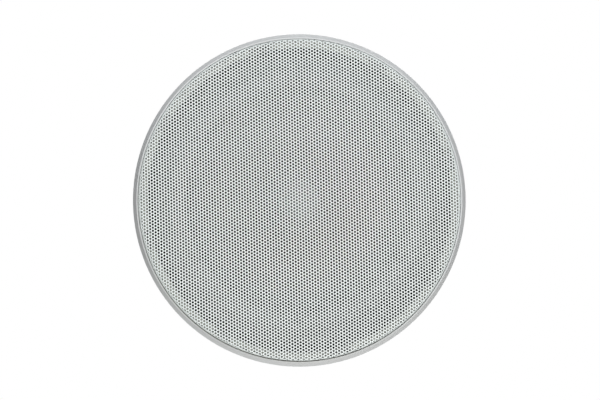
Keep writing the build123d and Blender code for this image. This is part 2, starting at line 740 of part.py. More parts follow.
def make_tinsel_leads():
    """Two flexible leads from the lugs through a basket window to the middle of the cone's back."""
    land, neck = cone_line()[1:3]
    run = (neck[0] - land[0], neck[1] - land[1])
    length = math.hypot(*run)
    side = (run[1] / length, -run[0] / length)
    lift = CONE_T + TINSEL_GAP
    foot_r = (land[0] + neck[0]) / 2 + lift * side[0]
    foot_z = (land[1] + neck[1]) / 2 + lift * side[1]
    start_r = LUG_TIP_R - LUG_W / 2
    start_z = strip_z - TINSEL_GAP
    out_z = shelf_z - WINDOW_EDGE - 2 * TINSEL_STEP
    in_z = out_z - TINSEL_STEP
    path = [(start_r, start_z), (start_r, start_z - TINSEL_DROP), (basket_r(out_z) + TINSEL_OUT, out_z),
            (basket_r(in_z) - TINSEL_IN, in_z),
            (foot_r + TINSEL_FOOT * side[0], foot_z + TINSEL_FOOT * side[1]), (foot_r, foot_z)]
    return [lead([(r, y, z) for r, z in path], TINSEL_D / 2, TINSEL_BEND) for y in (-LEAD_Y, LEAD_Y)]


def make_woofer_leads():
    """Two leads looped from the board's inner edge to the woofer's lugs."""
    board_x = BOARD_INNER + LEAD_EDGE
    lug_x = LUG_TIP_R - LUG_W / 2
    top_z = lug_z + LEAD_RISE
    bend = (board_x - lug_x) * LEAD_BEND_SHARE
    leads = []
    for y in (-LEAD_Y, LEAD_Y):
        path = [(board_x, y, board_top_z), (board_x, y, top_z), (lug_x, y, top_z), (lug_x, y, lug_z)]
        leads.append(lead(path, LEAD_D / 2, bend))
    return leads


def make_tweeter_lead():
    """Twin lead from the board, over the motor's back and into the hollow stud."""
    board_x = BOARD_INNER + LEAD_EDGE
    top_z = post_end_z + LEAD_TOP
    path = [(board_x, TWEETER_LEAD_Y, board_top_z), (board_x, TWEETER_LEAD_Y, magnet_z),
            (BACK_PLATE_D / 2 + LEAD_CLEAR, TWEETER_LEAD_Y / 2, top_z), (0, 0, top_z),
            (0, 0, post_end_z - LEAD_PLUG)]
    return lead(path, TWEETER_LEAD_D / 2, [LEAD_BEND, LEAD_BEND, LEAD_ENTRY_BEND])


# pieces that repeat or take a line of their own
rim_screw = headed(RIM_SCREW_R, 0, RIM_HEAD_D / 2, rim_z - RIM_HEAD_H, RIM_SCREW_D / 2, rim_z,
                   collar_z - RIM_SCREW_SHORT)
board_screw = headed(0, 0, BOARD_HEAD_D / 2, board_top_z + BOARD_HEAD_H, BOARD_SCREW_D / 2, board_top_z,
                     BOARD_Z - BOARD_SCREW_L + BOARD_SCREW_SHORT)
clamp_screw = headed(clamp_r, 0, CLAMP_HEAD_D / 2, baffle_z - CLAMP_HEAD_H, CLAMP_SCREW_D / 2, baffle_z,
                     cap_top_z + CLAMP_TIP)
clamp_dog = Pos(clamp_r, 0, DOG_Z) * Rot(0, 0, DOG_TURN) * make_dog()
inductor = ring(INDUCTOR_HOLE_D / 2, INDUCTOR_D / 2, board_top_z, board_top_z + INDUCTOR_H)
film_cap = Pos(0, 0, board_top_z + FILM_CAP_D / 2) * Rot(90, 0, 0) * Cylinder(FILM_CAP_D / 2, FILM_CAP_L)
round_cap = rod(*ROUND_CAP_AT, ROUND_CAP_D / 2, board_top_z, board_top_z + ROUND_CAP_H)
gasket_z = rim_z - SURROUND_T
tweeter_coil = ring(tweeter_coil_r - TWEETER_COIL_T, tweeter_coil_r, tweeter_seat_z,
                    tweeter_seat_z + TWEETER_COIL_H)

pieces = {
    "frame": make_frame(),
    "trim_ring": make_trim_ring(),
    "felt_ring": ring(lap_r + FELT_PLAY, ledge_inner_r - FELT_PLAY, -WALL_T - FELT_T, -WALL_T),
    "grille": make_grille(),
    "grille_magnets": make_grille_magnets(),
    "woofer_basket": make_basket(),
    "woofer_screws": [turn * rim_screw for turn in around(RIM_SCREWS, RIM_SCREW_TURN)],
    "woofer_gasket": ring(mouth_r + 2 * SURROUND_T, mouth_r + SURROUND_LAND, gasket_z - GASKET_T, gasket_z),
    "woofer_surround": make_surround(),
    "woofer_cone": turned(skin(cone_line(), CONE_T)),
    "voice_coil_former": ring(former_r - FORMER_T, former_r, former_z, former_back_z),
    "voice_coil": ring(former_r, coil_r, former_back_z - COIL_H, former_back_z),
    "spider": make_spider(),
    "top_plate": ring(gap_r, TOP_PLATE_D / 2, top_plate_z, magnet_z),
    "ring_magnet": ring(MAGNET_HOLE_D / 2, MAGNET_D / 2, magnet_z, back_plate_z),
    "pole_yoke": make_yoke(),
    "tweeter_post": make_post(),
    "tweeter_nut": make_nut(),
    "tweeter_faceplate": make_faceplate(),
    "tweeter_dome": make_dome(),
    "tweeter_voice_coil": tweeter_coil,
    "tweeter_top_plate": rod(0, 0, tweeter_pole_r, plate_z, small_magnet_z),
    "tweeter_magnet": rod(0, 0, TWEETER_MAGNET_D / 2, small_magnet_z, yoke_floor_z),
    "tweeter_yoke": make_tweeter_yoke(),
    "tweeter_housing": make_tweeter_housing(),
    "crossover_board": on_board * make_board(),
    "board_screws": [on_board * Pos(x, y, 0) * board_screw for x, y in BOARD_POSTS],
    "crossover_inductor": on_board * Pos(*INDUCTOR_AT, 0) * inductor,
    "crossover_film_capacitor": on_board * Pos(*FILM_CAP_AT, 0) * film_cap,
    "crossover_round_capacitor": on_board * round_cap,
    "crossover_resistor": on_board * make_resistor(),
    "terminal_block": on_board * make_block(),
    "terminal_button_positive": on_board * make_button(*button_places()[0]),
    "terminal_button_negative": on_board * make_button(*button_places()[1]),
    "tag_strip": beside_board * make_strip(),
    "tag_lugs": [beside_board * lug for lug in make_lugs()],
    "tinsel_leads": [beside_board * wire for wire in make_tinsel_leads()],
    "woofer_leads": [beside_board * wire for wire in make_woofer_leads()],
    "tweeter_lead": beside_board * make_tweeter_lead(),
}
for number, angle in enumerate(CLAMP_ANGLES, 1):
    pieces["clamp_screw_%d" % number] = Rot(0, 0, angle) * clamp_screw
    pieces["clamp_dog_%d" % number] = Rot(0, 0, angle) * clamp_dog

os.makedirs("parts", exist_ok=True)
for name, shape in pieces.items():
    solid = Compound(children=shape) if isinstance(shape, list) else shape
    export_step(solid, "parts/%s.step" % name)
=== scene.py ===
import math

import bpy
import numpy as np
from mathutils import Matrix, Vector


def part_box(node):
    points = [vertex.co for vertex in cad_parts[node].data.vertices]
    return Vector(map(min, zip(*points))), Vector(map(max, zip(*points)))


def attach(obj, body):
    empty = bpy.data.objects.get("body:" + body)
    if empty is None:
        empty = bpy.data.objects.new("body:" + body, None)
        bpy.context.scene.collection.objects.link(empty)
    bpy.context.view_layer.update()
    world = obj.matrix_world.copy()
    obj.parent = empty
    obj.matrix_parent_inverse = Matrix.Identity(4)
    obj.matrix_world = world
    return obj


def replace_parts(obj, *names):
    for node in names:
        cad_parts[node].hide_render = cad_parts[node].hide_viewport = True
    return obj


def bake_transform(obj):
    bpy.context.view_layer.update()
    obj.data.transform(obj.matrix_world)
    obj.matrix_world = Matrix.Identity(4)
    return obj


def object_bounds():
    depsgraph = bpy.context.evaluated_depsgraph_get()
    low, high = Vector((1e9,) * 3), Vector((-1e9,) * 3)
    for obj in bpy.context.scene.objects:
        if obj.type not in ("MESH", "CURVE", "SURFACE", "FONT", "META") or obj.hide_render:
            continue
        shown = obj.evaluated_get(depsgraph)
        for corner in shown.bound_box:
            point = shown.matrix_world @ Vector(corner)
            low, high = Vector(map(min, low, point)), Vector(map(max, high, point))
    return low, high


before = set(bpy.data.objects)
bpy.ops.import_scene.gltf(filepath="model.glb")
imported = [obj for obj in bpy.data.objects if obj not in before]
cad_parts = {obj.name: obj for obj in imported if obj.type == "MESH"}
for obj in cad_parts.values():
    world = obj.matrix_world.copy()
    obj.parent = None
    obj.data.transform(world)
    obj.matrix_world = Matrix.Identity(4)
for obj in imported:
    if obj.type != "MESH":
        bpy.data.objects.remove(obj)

cad_low, cad_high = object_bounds()


# Frame: the black moulding that goes up through the ceiling's cut-out. Baffle, collar, ribs, clamp towers
# and board posts come out of one tool, in glass-filled plastic with a fine spark-eroded skin and faint
# flow marks.


def place(tree, kind, inputs={}, **settings):
    """A shader node in a tree, with its settings, and with values or links on the named inputs."""
    made = tree.nodes.new(kind)
    for key, value in settings.items():
        setattr(made, key, value)
    for key, value in inputs.items():
        if isinstance(value, bpy.types.NodeSocket):
            tree.links.new(value, made.inputs[key])
        else:
            made.inputs[key].default_value = value
    return made


def maths(tree, operation, *values):
    """The result of one Math node."""
    return place(tree, "ShaderNodeMath", dict(enumerate(values)), operation=operation).outputs[0]


def blended(tree, factor, first, second):
    """A colour between two colours."""
    node = place(tree, "ShaderNodeMix", {0: factor}, data_type="RGBA")
    for index, colour in ((6, first), (7, second)):
        if isinstance(colour, bpy.types.NodeSocket):
            tree.links.new(colour, node.inputs[index])
        else:
            node.inputs[index].default_value = (*colour, 1.0)
    return node.outputs[2]


def spot(tree):
    """Object coordinates, whole and as separate x, y and z, in metres."""
    where = place(tree, "ShaderNodeTexCoord").outputs["Object"]
    return where, place(tree, "ShaderNodeSeparateXYZ", {0: where}).outputs


def noise(tree, where, scale, detail=3.0):
    """Noise from 0 to 1 with so many patches to a metre."""
    inputs = {"Vector": where, "Scale": scale, "Detail": detail}
    return place(tree, "ShaderNodeTexNoise", inputs).outputs[0]


def around(tree, amount, spread, middle):
    """A value about a middle: the amount, from 0 to 1, less a half, times the spread, plus the middle."""
    return maths(tree, "MULTIPLY_ADD", maths(tree, "SUBTRACT", amount, 0.5), spread, middle)


def shifted(tree, base, amount, spread):
    """A colour made lighter or darker: the colour times a share about one."""
    inputs = {0: base, "Scale": around(tree, amount, spread, 1.0)}
    return place(tree, "ShaderNodeVectorMath", inputs, operation="SCALE").outputs[0]


def effect(name, inputs, outputs):
    """An empty node group. An input is a colour where its default is one, an output where it is called
    Colour."""
    tree = bpy.data.node_groups.new(name, "ShaderNodeTree")
    for label, value in inputs.items():
        kind = "NodeSocketColor" if isinstance(value, tuple) else "NodeSocketFloat"
        tree.interface.new_socket(name=label, in_out="INPUT", socket_type=kind).default_value = value
    for label in outputs:
        kind = "NodeSocketColor" if label == "Colour" else "NodeSocketFloat"
        tree.interface.new_socket(name=label, in_out="OUTPUT", socket_type=kind)
    return tree, tree.nodes.new("NodeGroupInput").outputs, tree.nodes.new("NodeGroupOutput").inputs


SURFACE = ["Colour", "Roughness", "Height"]


def give(tree, out, colour, rough, height):
    """Links a group's colour, roughness and height to its outputs."""
    for label, socket in zip(SURFACE, (colour, rough, height)):
        tree.links.new(socket, out[label])


def moulded_skin():
    """Two noises: a fine one is the height of the skin and shifts its roughness, and a broad one makes the
    colour lighter or darker by a small share."""
    inputs = {"Base": (0.5, 0.5, 0.5, 1.0), "Grain": 1500.0, "Spread": 0.1, "Rough": 0.5}
    tree, given, out = effect("moulded_skin", inputs, SURFACE)
    where, _ = spot(tree)
    fine = noise(tree, where, given["Grain"])
    broad = noise(tree, where, scale=45.0, detail=4.0)
    colour = shifted(tree, given["Base"], broad, given["Spread"])
    give(tree, out, colour, around(tree, fine, 0.25, given["Rough"]), fine)
    return tree


def finish(name, **constants):
    """A material with a Principled shader, with plain values on the shader's own sockets."""
    made = bpy.data.materials.new(name)
    made.use_nodes = True
    shader = made.node_tree.nodes["Principled BSDF"]
    for label, value in constants.items():
        shader.inputs[label.replace("_", " ")].default_value = value
    return made, made.node_tree, shader


def cover(tree, shader, colour, rough, height, depth):
    """Puts a colour, a roughness and a bump of a depth in metres on a shader."""
    bump = place(tree, "ShaderNodeBump", {"Height": height, "Distance": depth})
    tree.links.new(colour, shader.inputs["Base Color"])
    tree.links.new(rough, shader.inputs["Roughness"])
    tree.links.new(bump.outputs[0], shader.inputs["Normal"])


def coated(name, group, depth, values, **constants):
    """A material whose colour, roughness and relief come from an effect with its own values."""
    made, tree, shader = finish(name, **constants)
    part = place(tree, "ShaderNodeGroup", values, node_tree=group)
    cover(tree, shader, *[part.outputs[label] for label in SURFACE], depth)
    return made


skin = moulded_skin()


def moulding(name, colour, rough, grain=1500.0, spread=0.1, depth=0.00004, **constants):
    """A moulded, painted, cast or plated finish: the skin with its own colour, roughness and grain."""
    values = {"Base": (*colour, 1.0), "Grain": grain, "Spread": spread, "Rough": rough}
    return coated(name, skin, depth, values, **constants)


def dress(material, *nodes):
    """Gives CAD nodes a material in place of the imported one."""
    for name in nodes:
        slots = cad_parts[name].data.materials
        slots.clear()
        slots.append(material)


frame_black = moulding("frame_black", (0.024, 0.025, 0.027), 0.50, grain=1300.0, spread=0.5)
dress(frame_black, "frame")


# Trim ring: the slim white bezel that covers the edge of the cut-out, with the groove that takes the
# grille's skirt and the ledge for its magnets; it laps over the frame's lip. Satin white where it shows;
# the ledge and the groove behind the grille are grey, painted shade. The white fades into that grey over
# the lip about a centre shifted towards +y and a little towards -x, so the lip is painted lighter on the
# -y side and darker on the +y side: painted light and shade.
# The grey up to this radius is painted shade; the shift below sets the painted light and shade on the lip.
SHADE_GREY_TO_R = 0.1111
WHITE_FROM_R = 0.1127
SHADE_SHIFT_X = -0.0003
SHADE_SHIFT_Y = 0.00075


def from_line(tree, axes, x=0.0, y=0.0):
    """Distance from an upright line, in metres: the root of the squares of the distances along x and y."""
    across = maths(tree, "POWER", maths(tree, "SUBTRACT", axes[0], x), 2.0)
    along = maths(tree, "POWER", maths(tree, "SUBTRACT", axes[1], y), 2.0)
    return maths(tree, "SQRT", maths(tree, "ADD", across, along))


def raised(tree, amount, least, span):
    """A roughness: the least value, plus the amount, from 0 to 1, times the span."""
    return maths(tree, "MULTIPLY_ADD", amount, span, least)


trim, trim_tree, trim_shader = finish("trim_white", Specular_IOR_Level=0.25)
trim_place, trim_axes = spot(trim_tree)
trim_r = from_line(trim_tree, trim_axes, SHADE_SHIFT_X, SHADE_SHIFT_Y)
white_share = place(trim_tree, "ShaderNodeMapRange", {
    "Value": trim_r, "From Min": SHADE_GREY_TO_R, "From Max": WHITE_FROM_R}).outputs[0]
satin = noise(trim_tree, trim_place, 2600.0)
# The grey is painted shade of the ledge and groove behind the grille; the white is the bezel's own colour.
shade_grey = blended(trim_tree, satin, (0.275, 0.277, 0.253), (0.315, 0.317, 0.291))
white = blended(trim_tree, satin, (0.61, 0.624, 0.63), (0.63, 0.644, 0.65))
trim_tone = blended(trim_tree, white_share, shade_grey, white)
cover(trim_tree, trim_shader, trim_tone, raised(trim_tree, satin, 0.38, 0.2), satin, 0.00001)
dress(trim, "trim_ring")


# Felt ring: a thin black felt washer on the trim ring's web, inside the ledge, that stops light and
# rattles. Pressed fibres with no weave, glued on.
felt, felt_tree, felt_shader = finish("felt_black", Specular_IOR_Level=0.1, Sheen_Weight=0.1)
felt_place, _ = spot(felt_tree)
fibres = noise(felt_tree, felt_place, 2200.0, 5.0)
felt_tone = blended(felt_tree, fibres, (0.006, 0.006, 0.006), (0.020, 0.020, 0.021))
cover(felt_tree, felt_shader, felt_tone, raised(felt_tree, fibres, 0.88, 0.1), fibres, 0.0003)
dress(felt, "felt_ring")


# Grille: a round blank of thin steel, punched with staggered holes, then pressed so that its edge rolls
# over into a short skirt. The holes run on into the bend. Matt white powder coat; the ledge's magnets
# hold it. Sizes are in millimetres, and those that end in S run from the middle along the blank.
MM = 1000.0
grille_low, grille_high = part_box("grille")
FACE_Z = grille_low[2] * MM
SKIRT_Z = grille_high[2] * MM
SHEET = 0.8
BEND_R = 2.4
FLAT_R = grille_high[0] * MM - BEND_R
BEND_S = FLAT_R + BEND_R * math.pi / 2
EDGE_S = BEND_S + SKIRT_Z - FACE_Z - BEND_R
PUNCHED_S = FLAT_R + 2.2
CELLS_S = FLAT_R + 3.4
PITCH = 2.185
ROW = math.sqrt(0.75)
HOLE_R = 0.835
HOLE_SIDES = 12
HOLE_TURN = math.radians(-1.5)
HOLE_SHIFT = (-0.067, -0.4655)
SEATED = (0.04, -0.16)
CENTRE_S = 64.5
MIDDLE_S = 91.5
SHARP = math.radians(40)
powder_white = moulding("powder_white", (0.829, 0.870, 0.862), 0.50, grain=900.0, spread=0.02,
                        depth=0.000015)


def pressed(flat, depth):
    """Where points of the flat blank end up in the press, in millimetres. Out to the flat radius they
    stay. Beyond it the distance from the middle is wound round the bend, and then runs straight up the
    skirt. The depth below the outer face shortens the bend's radius. The pan sits to one side of its
    groove, within its play."""
    reach = np.hypot(flat[:, 0], flat[:, 1])
    turn = np.clip((reach - FLAT_R) / BEND_R, 0.0, math.pi / 2)
    rise = np.clip(reach - BEND_S, 0.0, None)
    radius = np.minimum(reach, FLAT_R) + (BEND_R - depth) * np.sin(turn)
    out = flat * (radius / np.maximum(reach, 1e-9))[:, None] + np.array(SEATED)
    return np.column_stack([out, FACE_Z + BEND_R - (BEND_R - depth) * np.cos(turn) + rise])


def build(name, points, blocks, material, body=None):
    """An object from an array of points in millimetres and arrays of faces with the same corner count in
    each, smooth but for its sharp edges. It takes the given material, and rides on a body where one is
    given."""
    mesh = bpy.data.meshes.new(name)
    corners = np.concatenate([block.ravel() for block in blocks]).astype(np.int32)
    counts = np.concatenate([np.full(len(block), block.shape[1]) for block in blocks])
    starts = np.concatenate([[0], np.cumsum(counts)[:-1]])
    mesh.vertices.add(len(points))
    mesh.vertices.foreach_set("co", (np.asarray(points) / MM).astype(np.float32).ravel())
    mesh.loops.add(len(corners))
    mesh.loops.foreach_set("vertex_index", corners)
    mesh.polygons.add(len(counts))
    mesh.polygons.foreach_set("loop_start", starts.astype(np.int32))
    mesh.polygons.foreach_set("loop_total", counts.astype(np.int32))
    mesh.update(calc_edges=True)
    mesh.validate()
    mesh.set_sharp_from_angle(angle=SHARP)
    mesh.materials.append(material)
    piece = bpy.data.objects.new(name, mesh)
    bpy.context.scene.collection.objects.link(piece)
    if body:
        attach(piece, body)
    return piece


def punched_cells(inner, outer):
    """The hexagonal cells of the punching between two radii, one hole to a cell. A cell's middle is a
    whole number of steps along two lattice lines 60 degrees apart, and its corners are thirds of a step
    away, so cells share them. Cells past the last holes stay whole. Returns points of the blank, faces of
    the web, whole cells, edges of the holes and edges of the cut."""
    count = int(CELLS_S / (PITCH * ROW)) + 3
    i, j = (a.ravel() for a in np.mgrid[-count:count + 1, -count:count + 1])
    lines = PITCH * np.array([[0.0, 1.0], [ROW, 0.5]])
    cos, sin = math.cos(HOLE_TURN), math.sin(HOLE_TURN)

    def flat(steps):
        """Steps along the two lines as a place on the blank, turned and moved with the whole punching."""
        return steps @ lines @ np.array([[cos, sin], [-sin, cos]]) + np.array(HOLE_SHIFT)

    thirds = np.array([[-1, 2], [1, 1], [2, -1], [1, -2], [-1, -1], [-2, 1]])
    middles = flat(np.column_stack([i, j]))
    keys = 3 * np.column_stack([i, j])[:, None, :] + thirds
    near = np.hypot(*flat(keys.reshape(-1, 2) / 3.0).T).reshape(-1, 6).min(axis=1)
    reach = np.hypot(*middles.T)
    kept = (near < CELLS_S) & (reach >= inner) & (reach < outer)
    middles, keys, reach = middles[kept], keys[kept], reach[kept]
    found, index = np.unique(keys.reshape(-1, 2), axis=0, return_inverse=True)
    index = index.reshape(-1, 6)
    corners = flat(found / 3.0)
    corners *= np.minimum(1.0, CELLS_S / np.maximum(np.hypot(*corners.T), 1e-9))[:, None]

    holed = reach < PUNCHED_S
    angles = HOLE_TURN + np.arange(HOLE_SIDES) * 2 * math.pi / HOLE_SIDES
    rim = middles[holed][:, None, :] + HOLE_R * np.column_stack([np.cos(angles), np.sin(angles)])
    rim_index = len(corners) + np.arange(holed.sum() * HOLE_SIDES).reshape(-1, HOLE_SIDES)
    k = np.arange(6)
    c0, c1 = index[holed], index[holed][:, (k + 1) % 6]
    h0, h1, h2 = (rim_index[:, (2 * k + step) % HOLE_SIDES] for step in range(3))
    triangles = [(c0, c1, h1), (c0, h1, h0), (c1, h2, h1)]
    web = np.stack([np.stack(triangle, -1) for triangle in triangles], 2)
    wall = np.stack([rim_index, np.roll(rim_index, -1, axis=1)], -1).reshape(-1, 2)
    edges = np.stack([index, np.roll(index, -1, axis=1)], -1).reshape(-1, 2)
    span = len(corners) + 1
    once = ~np.isin(edges[:, 0] * span + edges[:, 1], edges[:, 1] * span + edges[:, 0])
    points = np.concatenate([corners, rim.reshape(-1, 2)])
    return points, web.reshape(-1, 3), index[~holed], wall, edges[once]


def grille_part(name, inner, outer):
    """A closed part of the punched sheet between two radii, so that no piece has too many faces: its front,
    its back turned over, the holes' walls and the cut edge."""
    flat, web, plain, wall, edge = punched_cells(inner, outer)
    back = len(flat)
    points = np.concatenate([pressed(flat, 0.0), pressed(flat, SHEET)])
    sides = np.concatenate([wall, edge[:, ::-1]])
    walls = np.column_stack([sides[:, 0], sides[:, 0] + back, sides[:, 1] + back, sides[:, 1]])
    blocks = [web[:, ::-1], web + back, walls]
    if len(plain):
        blocks += [plain[:, ::-1], plain + back]
    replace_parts(build(name, points, blocks, powder_white, "housing"), "grille")


grille_part("grille_centre", 0.0, CENTRE_S)
grille_part("grille_middle", CENTRE_S, MIDDLE_S)
grille_part("grille_edge", MIDDLE_S, CELLS_S + PITCH)


# Grille rim: the plain edge of the same pressing, from the last cells round the bend to the end of the
# skirt, which stands in the trim ring's groove. Bent from the blank and coated with it.
RIM_STEPS = 720
RIM_BEND_POINTS = 9


def circle(count):
    """Even turns, in radians."""
    return np.linspace(0.0, 2 * math.pi, count, endpoint=False)


def spun(radius, height, turns):
    """A line carried round the axis: its radius times the cosine and the sine of each turn, and its
    height."""
    x, y = radius * np.cos(turns), radius * np.sin(turns)
    return np.stack([x, y, np.broadcast_to(height, x.shape)], -1).reshape(-1, 3)


def closed_tube(rings, columns):
    """Faces of a grid whose rows and columns both close on themselves."""
    a, b = np.mgrid[0:rings, 0:columns]
    row, after = a * columns, (a + 1) % rings * columns
    c = (b + 1) % columns
    return np.stack([row + b, row + c, after + c, after + b], -1).reshape(-1, 4)


rim_front = np.concatenate([np.linspace(CELLS_S, BEND_S, RIM_BEND_POINTS), [EDGE_S]])
rim_line = np.concatenate([rim_front, rim_front[::-1]])
rim_depth = np.repeat([0.0, SHEET], len(rim_front) * RIM_STEPS)
rim_flat = spun(rim_line[:, None], 0.0, circle(RIM_STEPS))[:, :2]
rim_faces = closed_tube(len(rim_line), RIM_STEPS)
grille_rim = build("grille_rim", pressed(rim_flat, rim_depth), [rim_faces], powder_white,
                   "housing")
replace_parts(grille_rim, "grille")


# Grille magnets: eight bars of sintered ferrite let into pockets of the ledge, against the back of the
# grille. Dark grey, with a ground face and a fine grain.
ferrite = moulding("ferrite_grey", (0.020, 0.020, 0.021), 0.48, grain=2400.0, spread=0.7, depth=0.00006)
dress(ferrite, "grille_magnets")


# Woofer chassis: a basket pressed from sheet steel with eight windows, powder coated black, with a slight
# orange peel. A ring of open-cell foam under its rim seals it against the frame.
basket_black = moulding("basket_black", (0.021, 0.021, 0.023), 0.36, grain=520.0, spread=0.25,
                        depth=0.00005)
dress(basket_black, "woofer_basket")
foam, foam_tree, foam_shader = finish("gasket_foam", Specular_IOR_Level=0.15)


def pitted(tree, scale):
    """Pits of a surface: the distance from the nearest of points scattered so many to a metre."""
    where, _ = spot(tree)
    return place(tree, "ShaderNodeTexVoronoi", {"Vector": where, "Scale": scale}).outputs["Distance"]


pores = pitted(foam_tree, 1400.0)
# The pits of the pores are darker than the cell walls: painted shade in the pores.
foam_tone = blended(foam_tree, pores, (0.008, 0.008, 0.008), (0.045, 0.045, 0.047))
cover(foam_tree, foam_shader, foam_tone, raised(foam_tree, pores, 0.85, 0.1), pores, 0.0004)
dress(foam, "woofer_gasket")


# Woofer screws: six thread-forming screws from the room side through the rim into the frame's bosses.
# Steel with a black zinc plating, pan heads with a cross recess. The cross is given in shares of the
# head's sizes, the thread in shares of the shank's.
CROSS_W = 0.26
CROSS_L = 0.60
CROSS_SLOPE = 0.05
CROSS_END = 0.1
CROSS_DEPTH = 0.55
HEAD_SIDE = 0.35
HEAD_RINGS = 16
FIRST_RING = 0.06
THREAD_DEPTH = 0.22
RIDGE_SHARE = 0.32
THREAD_STEPS = 8
TIP_BLUNT = 0.15
RIM_SCREW = {"head_r": 3.6, "head_h": 2.0, "shank_r": 1.7, "length": 6.1, "pitch": 1.3, "columns": 24}
RIM_SCREW_R = 84.0
RIM_SEAT_Z = 4.9
RIM_ANGLES = np.radians([30.0, 90.0, 150.0, 210.0, 270.0, 330.0])
black_zinc = moulding("black_zinc", (0.040, 0.040, 0.043), 0.38, grain=1200.0, spread=0.5,
                      depth=0.00002, Metallic=1.0)


def capped_tube(rings, columns):
    """Faces of a stack of closed rings with a point before the first ring and one after the last."""
    a, b = np.mgrid[0:rings - 1, 0:columns]
    row, after = a * columns, (a + 1) * columns
    c = (b + 1) % columns
    quads = np.stack([row + b, row + c, after + c, after + b], -1)
    k = np.arange(columns)
    beside = (k + 1) % columns
    top = (rings - 1) * columns
    first = np.column_stack([np.zeros(columns, int), 1 + beside, 1 + k])
    last = np.column_stack([np.full(columns, 1 + rings * columns), 1 + top + k, 1 + top + beside])
    return 1 + quads.reshape(-1, 4), np.concatenate([first, last])


def screw_points(head_r, head_h, shank_r, length, pitch, columns):
    """A screw along +Z with its seat at zero, as rings from the middle of its head to its tip. The head's
    face is a quarter of an ellipse and sinks by the recess depth inside a cross of two bars. The shank's
    radius rises to a ridge once in each pitch, a helix, since the pitch's phase falls by one in a full
    turn. Its last part is a cone."""
    turns = circle(columns)
    face = np.linspace(FIRST_RING, 1.0, HEAD_RINGS) * math.pi / 2
    shank = np.arange(1, int(length * THREAD_STEPS / pitch)) * pitch / THREAD_STEPS
    line_r = np.concatenate([head_r * np.sin(face), [head_r, shank_r], np.full(len(shank), shank_r)])
    line_z = np.concatenate([-head_h * (HEAD_SIDE + (1.0 - HEAD_SIDE) * np.cos(face)), [0.0, 0.0], shank])
    radius, height = (np.repeat(line[:, None], columns, 1) for line in (line_r, line_z))
    u, v = np.abs(radius * np.cos(turns) / head_r), np.abs(radius * np.sin(turns) / head_r)
    beside_bar = np.clip((CROSS_W / 2 - np.minimum(u, v)) / CROSS_SLOPE, 0.0, 1.0)
    inside = beside_bar * np.clip((CROSS_L - np.maximum(u, v)) / CROSS_END, 0.0, 1.0)
    inside[HEAD_RINGS:] = 0.0
    phase = np.abs((height / pitch - turns / (2 * math.pi)) % 1.0 - 0.5)
    ridge = np.clip(1.0 - phase / RIDGE_SHARE, 0.0, 1.0)
    threaded = np.clip((height - pitch / 2) / pitch, 0.0, 1.0) * (height > 0)
    radius = radius - shank_r * THREAD_DEPTH * (1.0 - ridge) * threaded
    tip = np.clip((length - height) / (2 * shank_r) + TIP_BLUNT, 0.0, 1.0)
    radius = radius * np.where(height > 0, tip, 1.0)
    rings = spun(radius, height + inside * head_h * CROSS_DEPTH, turns)
    middle = [[0.0, 0.0, -head_h * (1.0 - CROSS_DEPTH)]]
    return np.concatenate([middle, rings, [[0.0, 0.0, length]]]), len(line_r)


def screws(name, places, way, sizes, material, body, node):
    """A piece with a screw at each place, its tip up or down. The mirror image has its faces turned
    round."""
    points, rings = screw_points(**sizes)
    points = points * np.array([1.0, 1.0, way])
    blocks = [block[:, ::way] for block in capped_tube(rings, sizes["columns"])]
    moved = np.concatenate([points + np.asarray(where) for where in places])
    copies = range(len(places))
    stacked = [np.concatenate([block + k * len(points) for k in copies]) for block in blocks]
    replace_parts(build(name, moved, stacked, material, body), node)


rim_places = spun(np.array([RIM_SCREW_R]), RIM_SEAT_Z, RIM_ANGLES)
screws("woofer_screw_set", rim_places, 1, RIM_SCREW, black_zinc, "housing", "woofer_screws")


# Woofer diaphragm: a cone of black filled polypropylene with fine concentric marks of its tool, and a
# half-roll surround of butyl rubber. Both are glued, the surround to the basket's rim.


def turned_marks():
    """Rings about the speaker's axis: the height is the sine of the radius times the Rings input, roughened
    by a fine noise. A broad noise shifts the colour and the roughness."""
    inputs = {"Base": (0.5, 0.5, 0.5, 1.0), "Rings": 9000.0, "Spread": 0.1, "Rough": 0.4}
    tree, given, out = effect("turned_marks", inputs, SURFACE)
    where, axes = spot(tree)
    wave = maths(tree, "SINE", maths(tree, "MULTIPLY", from_line(tree, axes), given["Rings"]))
    broad = noise(tree, where, scale=60.0, detail=4.0)
    grooves = maths(tree, "MULTIPLY", wave, 0.4)
    height = maths(tree, "MULTIPLY_ADD", noise(tree, where, 1800.0), 0.6, grooves)
    colour = shifted(tree, given["Base"], broad, given["Spread"])
    give(tree, out, colour, around(tree, broad, 0.3, given["Rough"]), height)
    return tree


marks = turned_marks()


def lathed(name, colour, rough, rings, spread=0.3, depth=0.00001, **constants):
    """A turned or spun finish: ring marks with their own colour, roughness and spacing."""
    values = {"Base": (*colour, 1.0), "Rings": rings, "Spread": spread, "Rough": rough}
    return coated(name, marks, depth, values, **constants)


cone_black = lathed("cone_black", (0.017, 0.017, 0.019), 0.42, rings=4200.0, depth=0.00003)
dress(cone_black, "woofer_cone")
surround_rubber = moulding("surround_rubber", (0.013, 0.013, 0.014), 0.62, grain=1900.0, spread=0.3)
ROUND_STEPS = 120


def flexing_ring(name, sectors, room, back, material, node):
    """A ring in sectors, each a piece of its own. The room and back lines of its section, points of radius
    and height, are carried round the axis over each sector's span, and each sector is closed at its two
    ends."""
    loop = np.concatenate([room, back[::-1]])
    steps = ROUND_STEPS // sectors
    rows, columns = len(loop), steps + 1
    a, b = np.mgrid[0:rows, 0:steps]
    first, after = a * columns + b, (a + 1) % rows * columns + b
    faces = np.stack([first, first + 1, after + 1, after], -1).reshape(-1, 4)
    k = np.arange(len(room) - 1)
    end = columns * np.column_stack([k, k + 1, rows - 2 - k, rows - 1 - k])
    faces = np.concatenate([faces, end, end[:, ::-1] + steps])
    half = math.pi / sectors
    for number in range(sectors):
        middle = 2 * half * number
        points = spun(loop[:, :1], loop[:, 1:], middle + np.linspace(-half, half, columns))
        piece = build("%s_%d" % (name, number + 1), points, [faces], material)
        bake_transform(piece)
        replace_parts(piece, node)


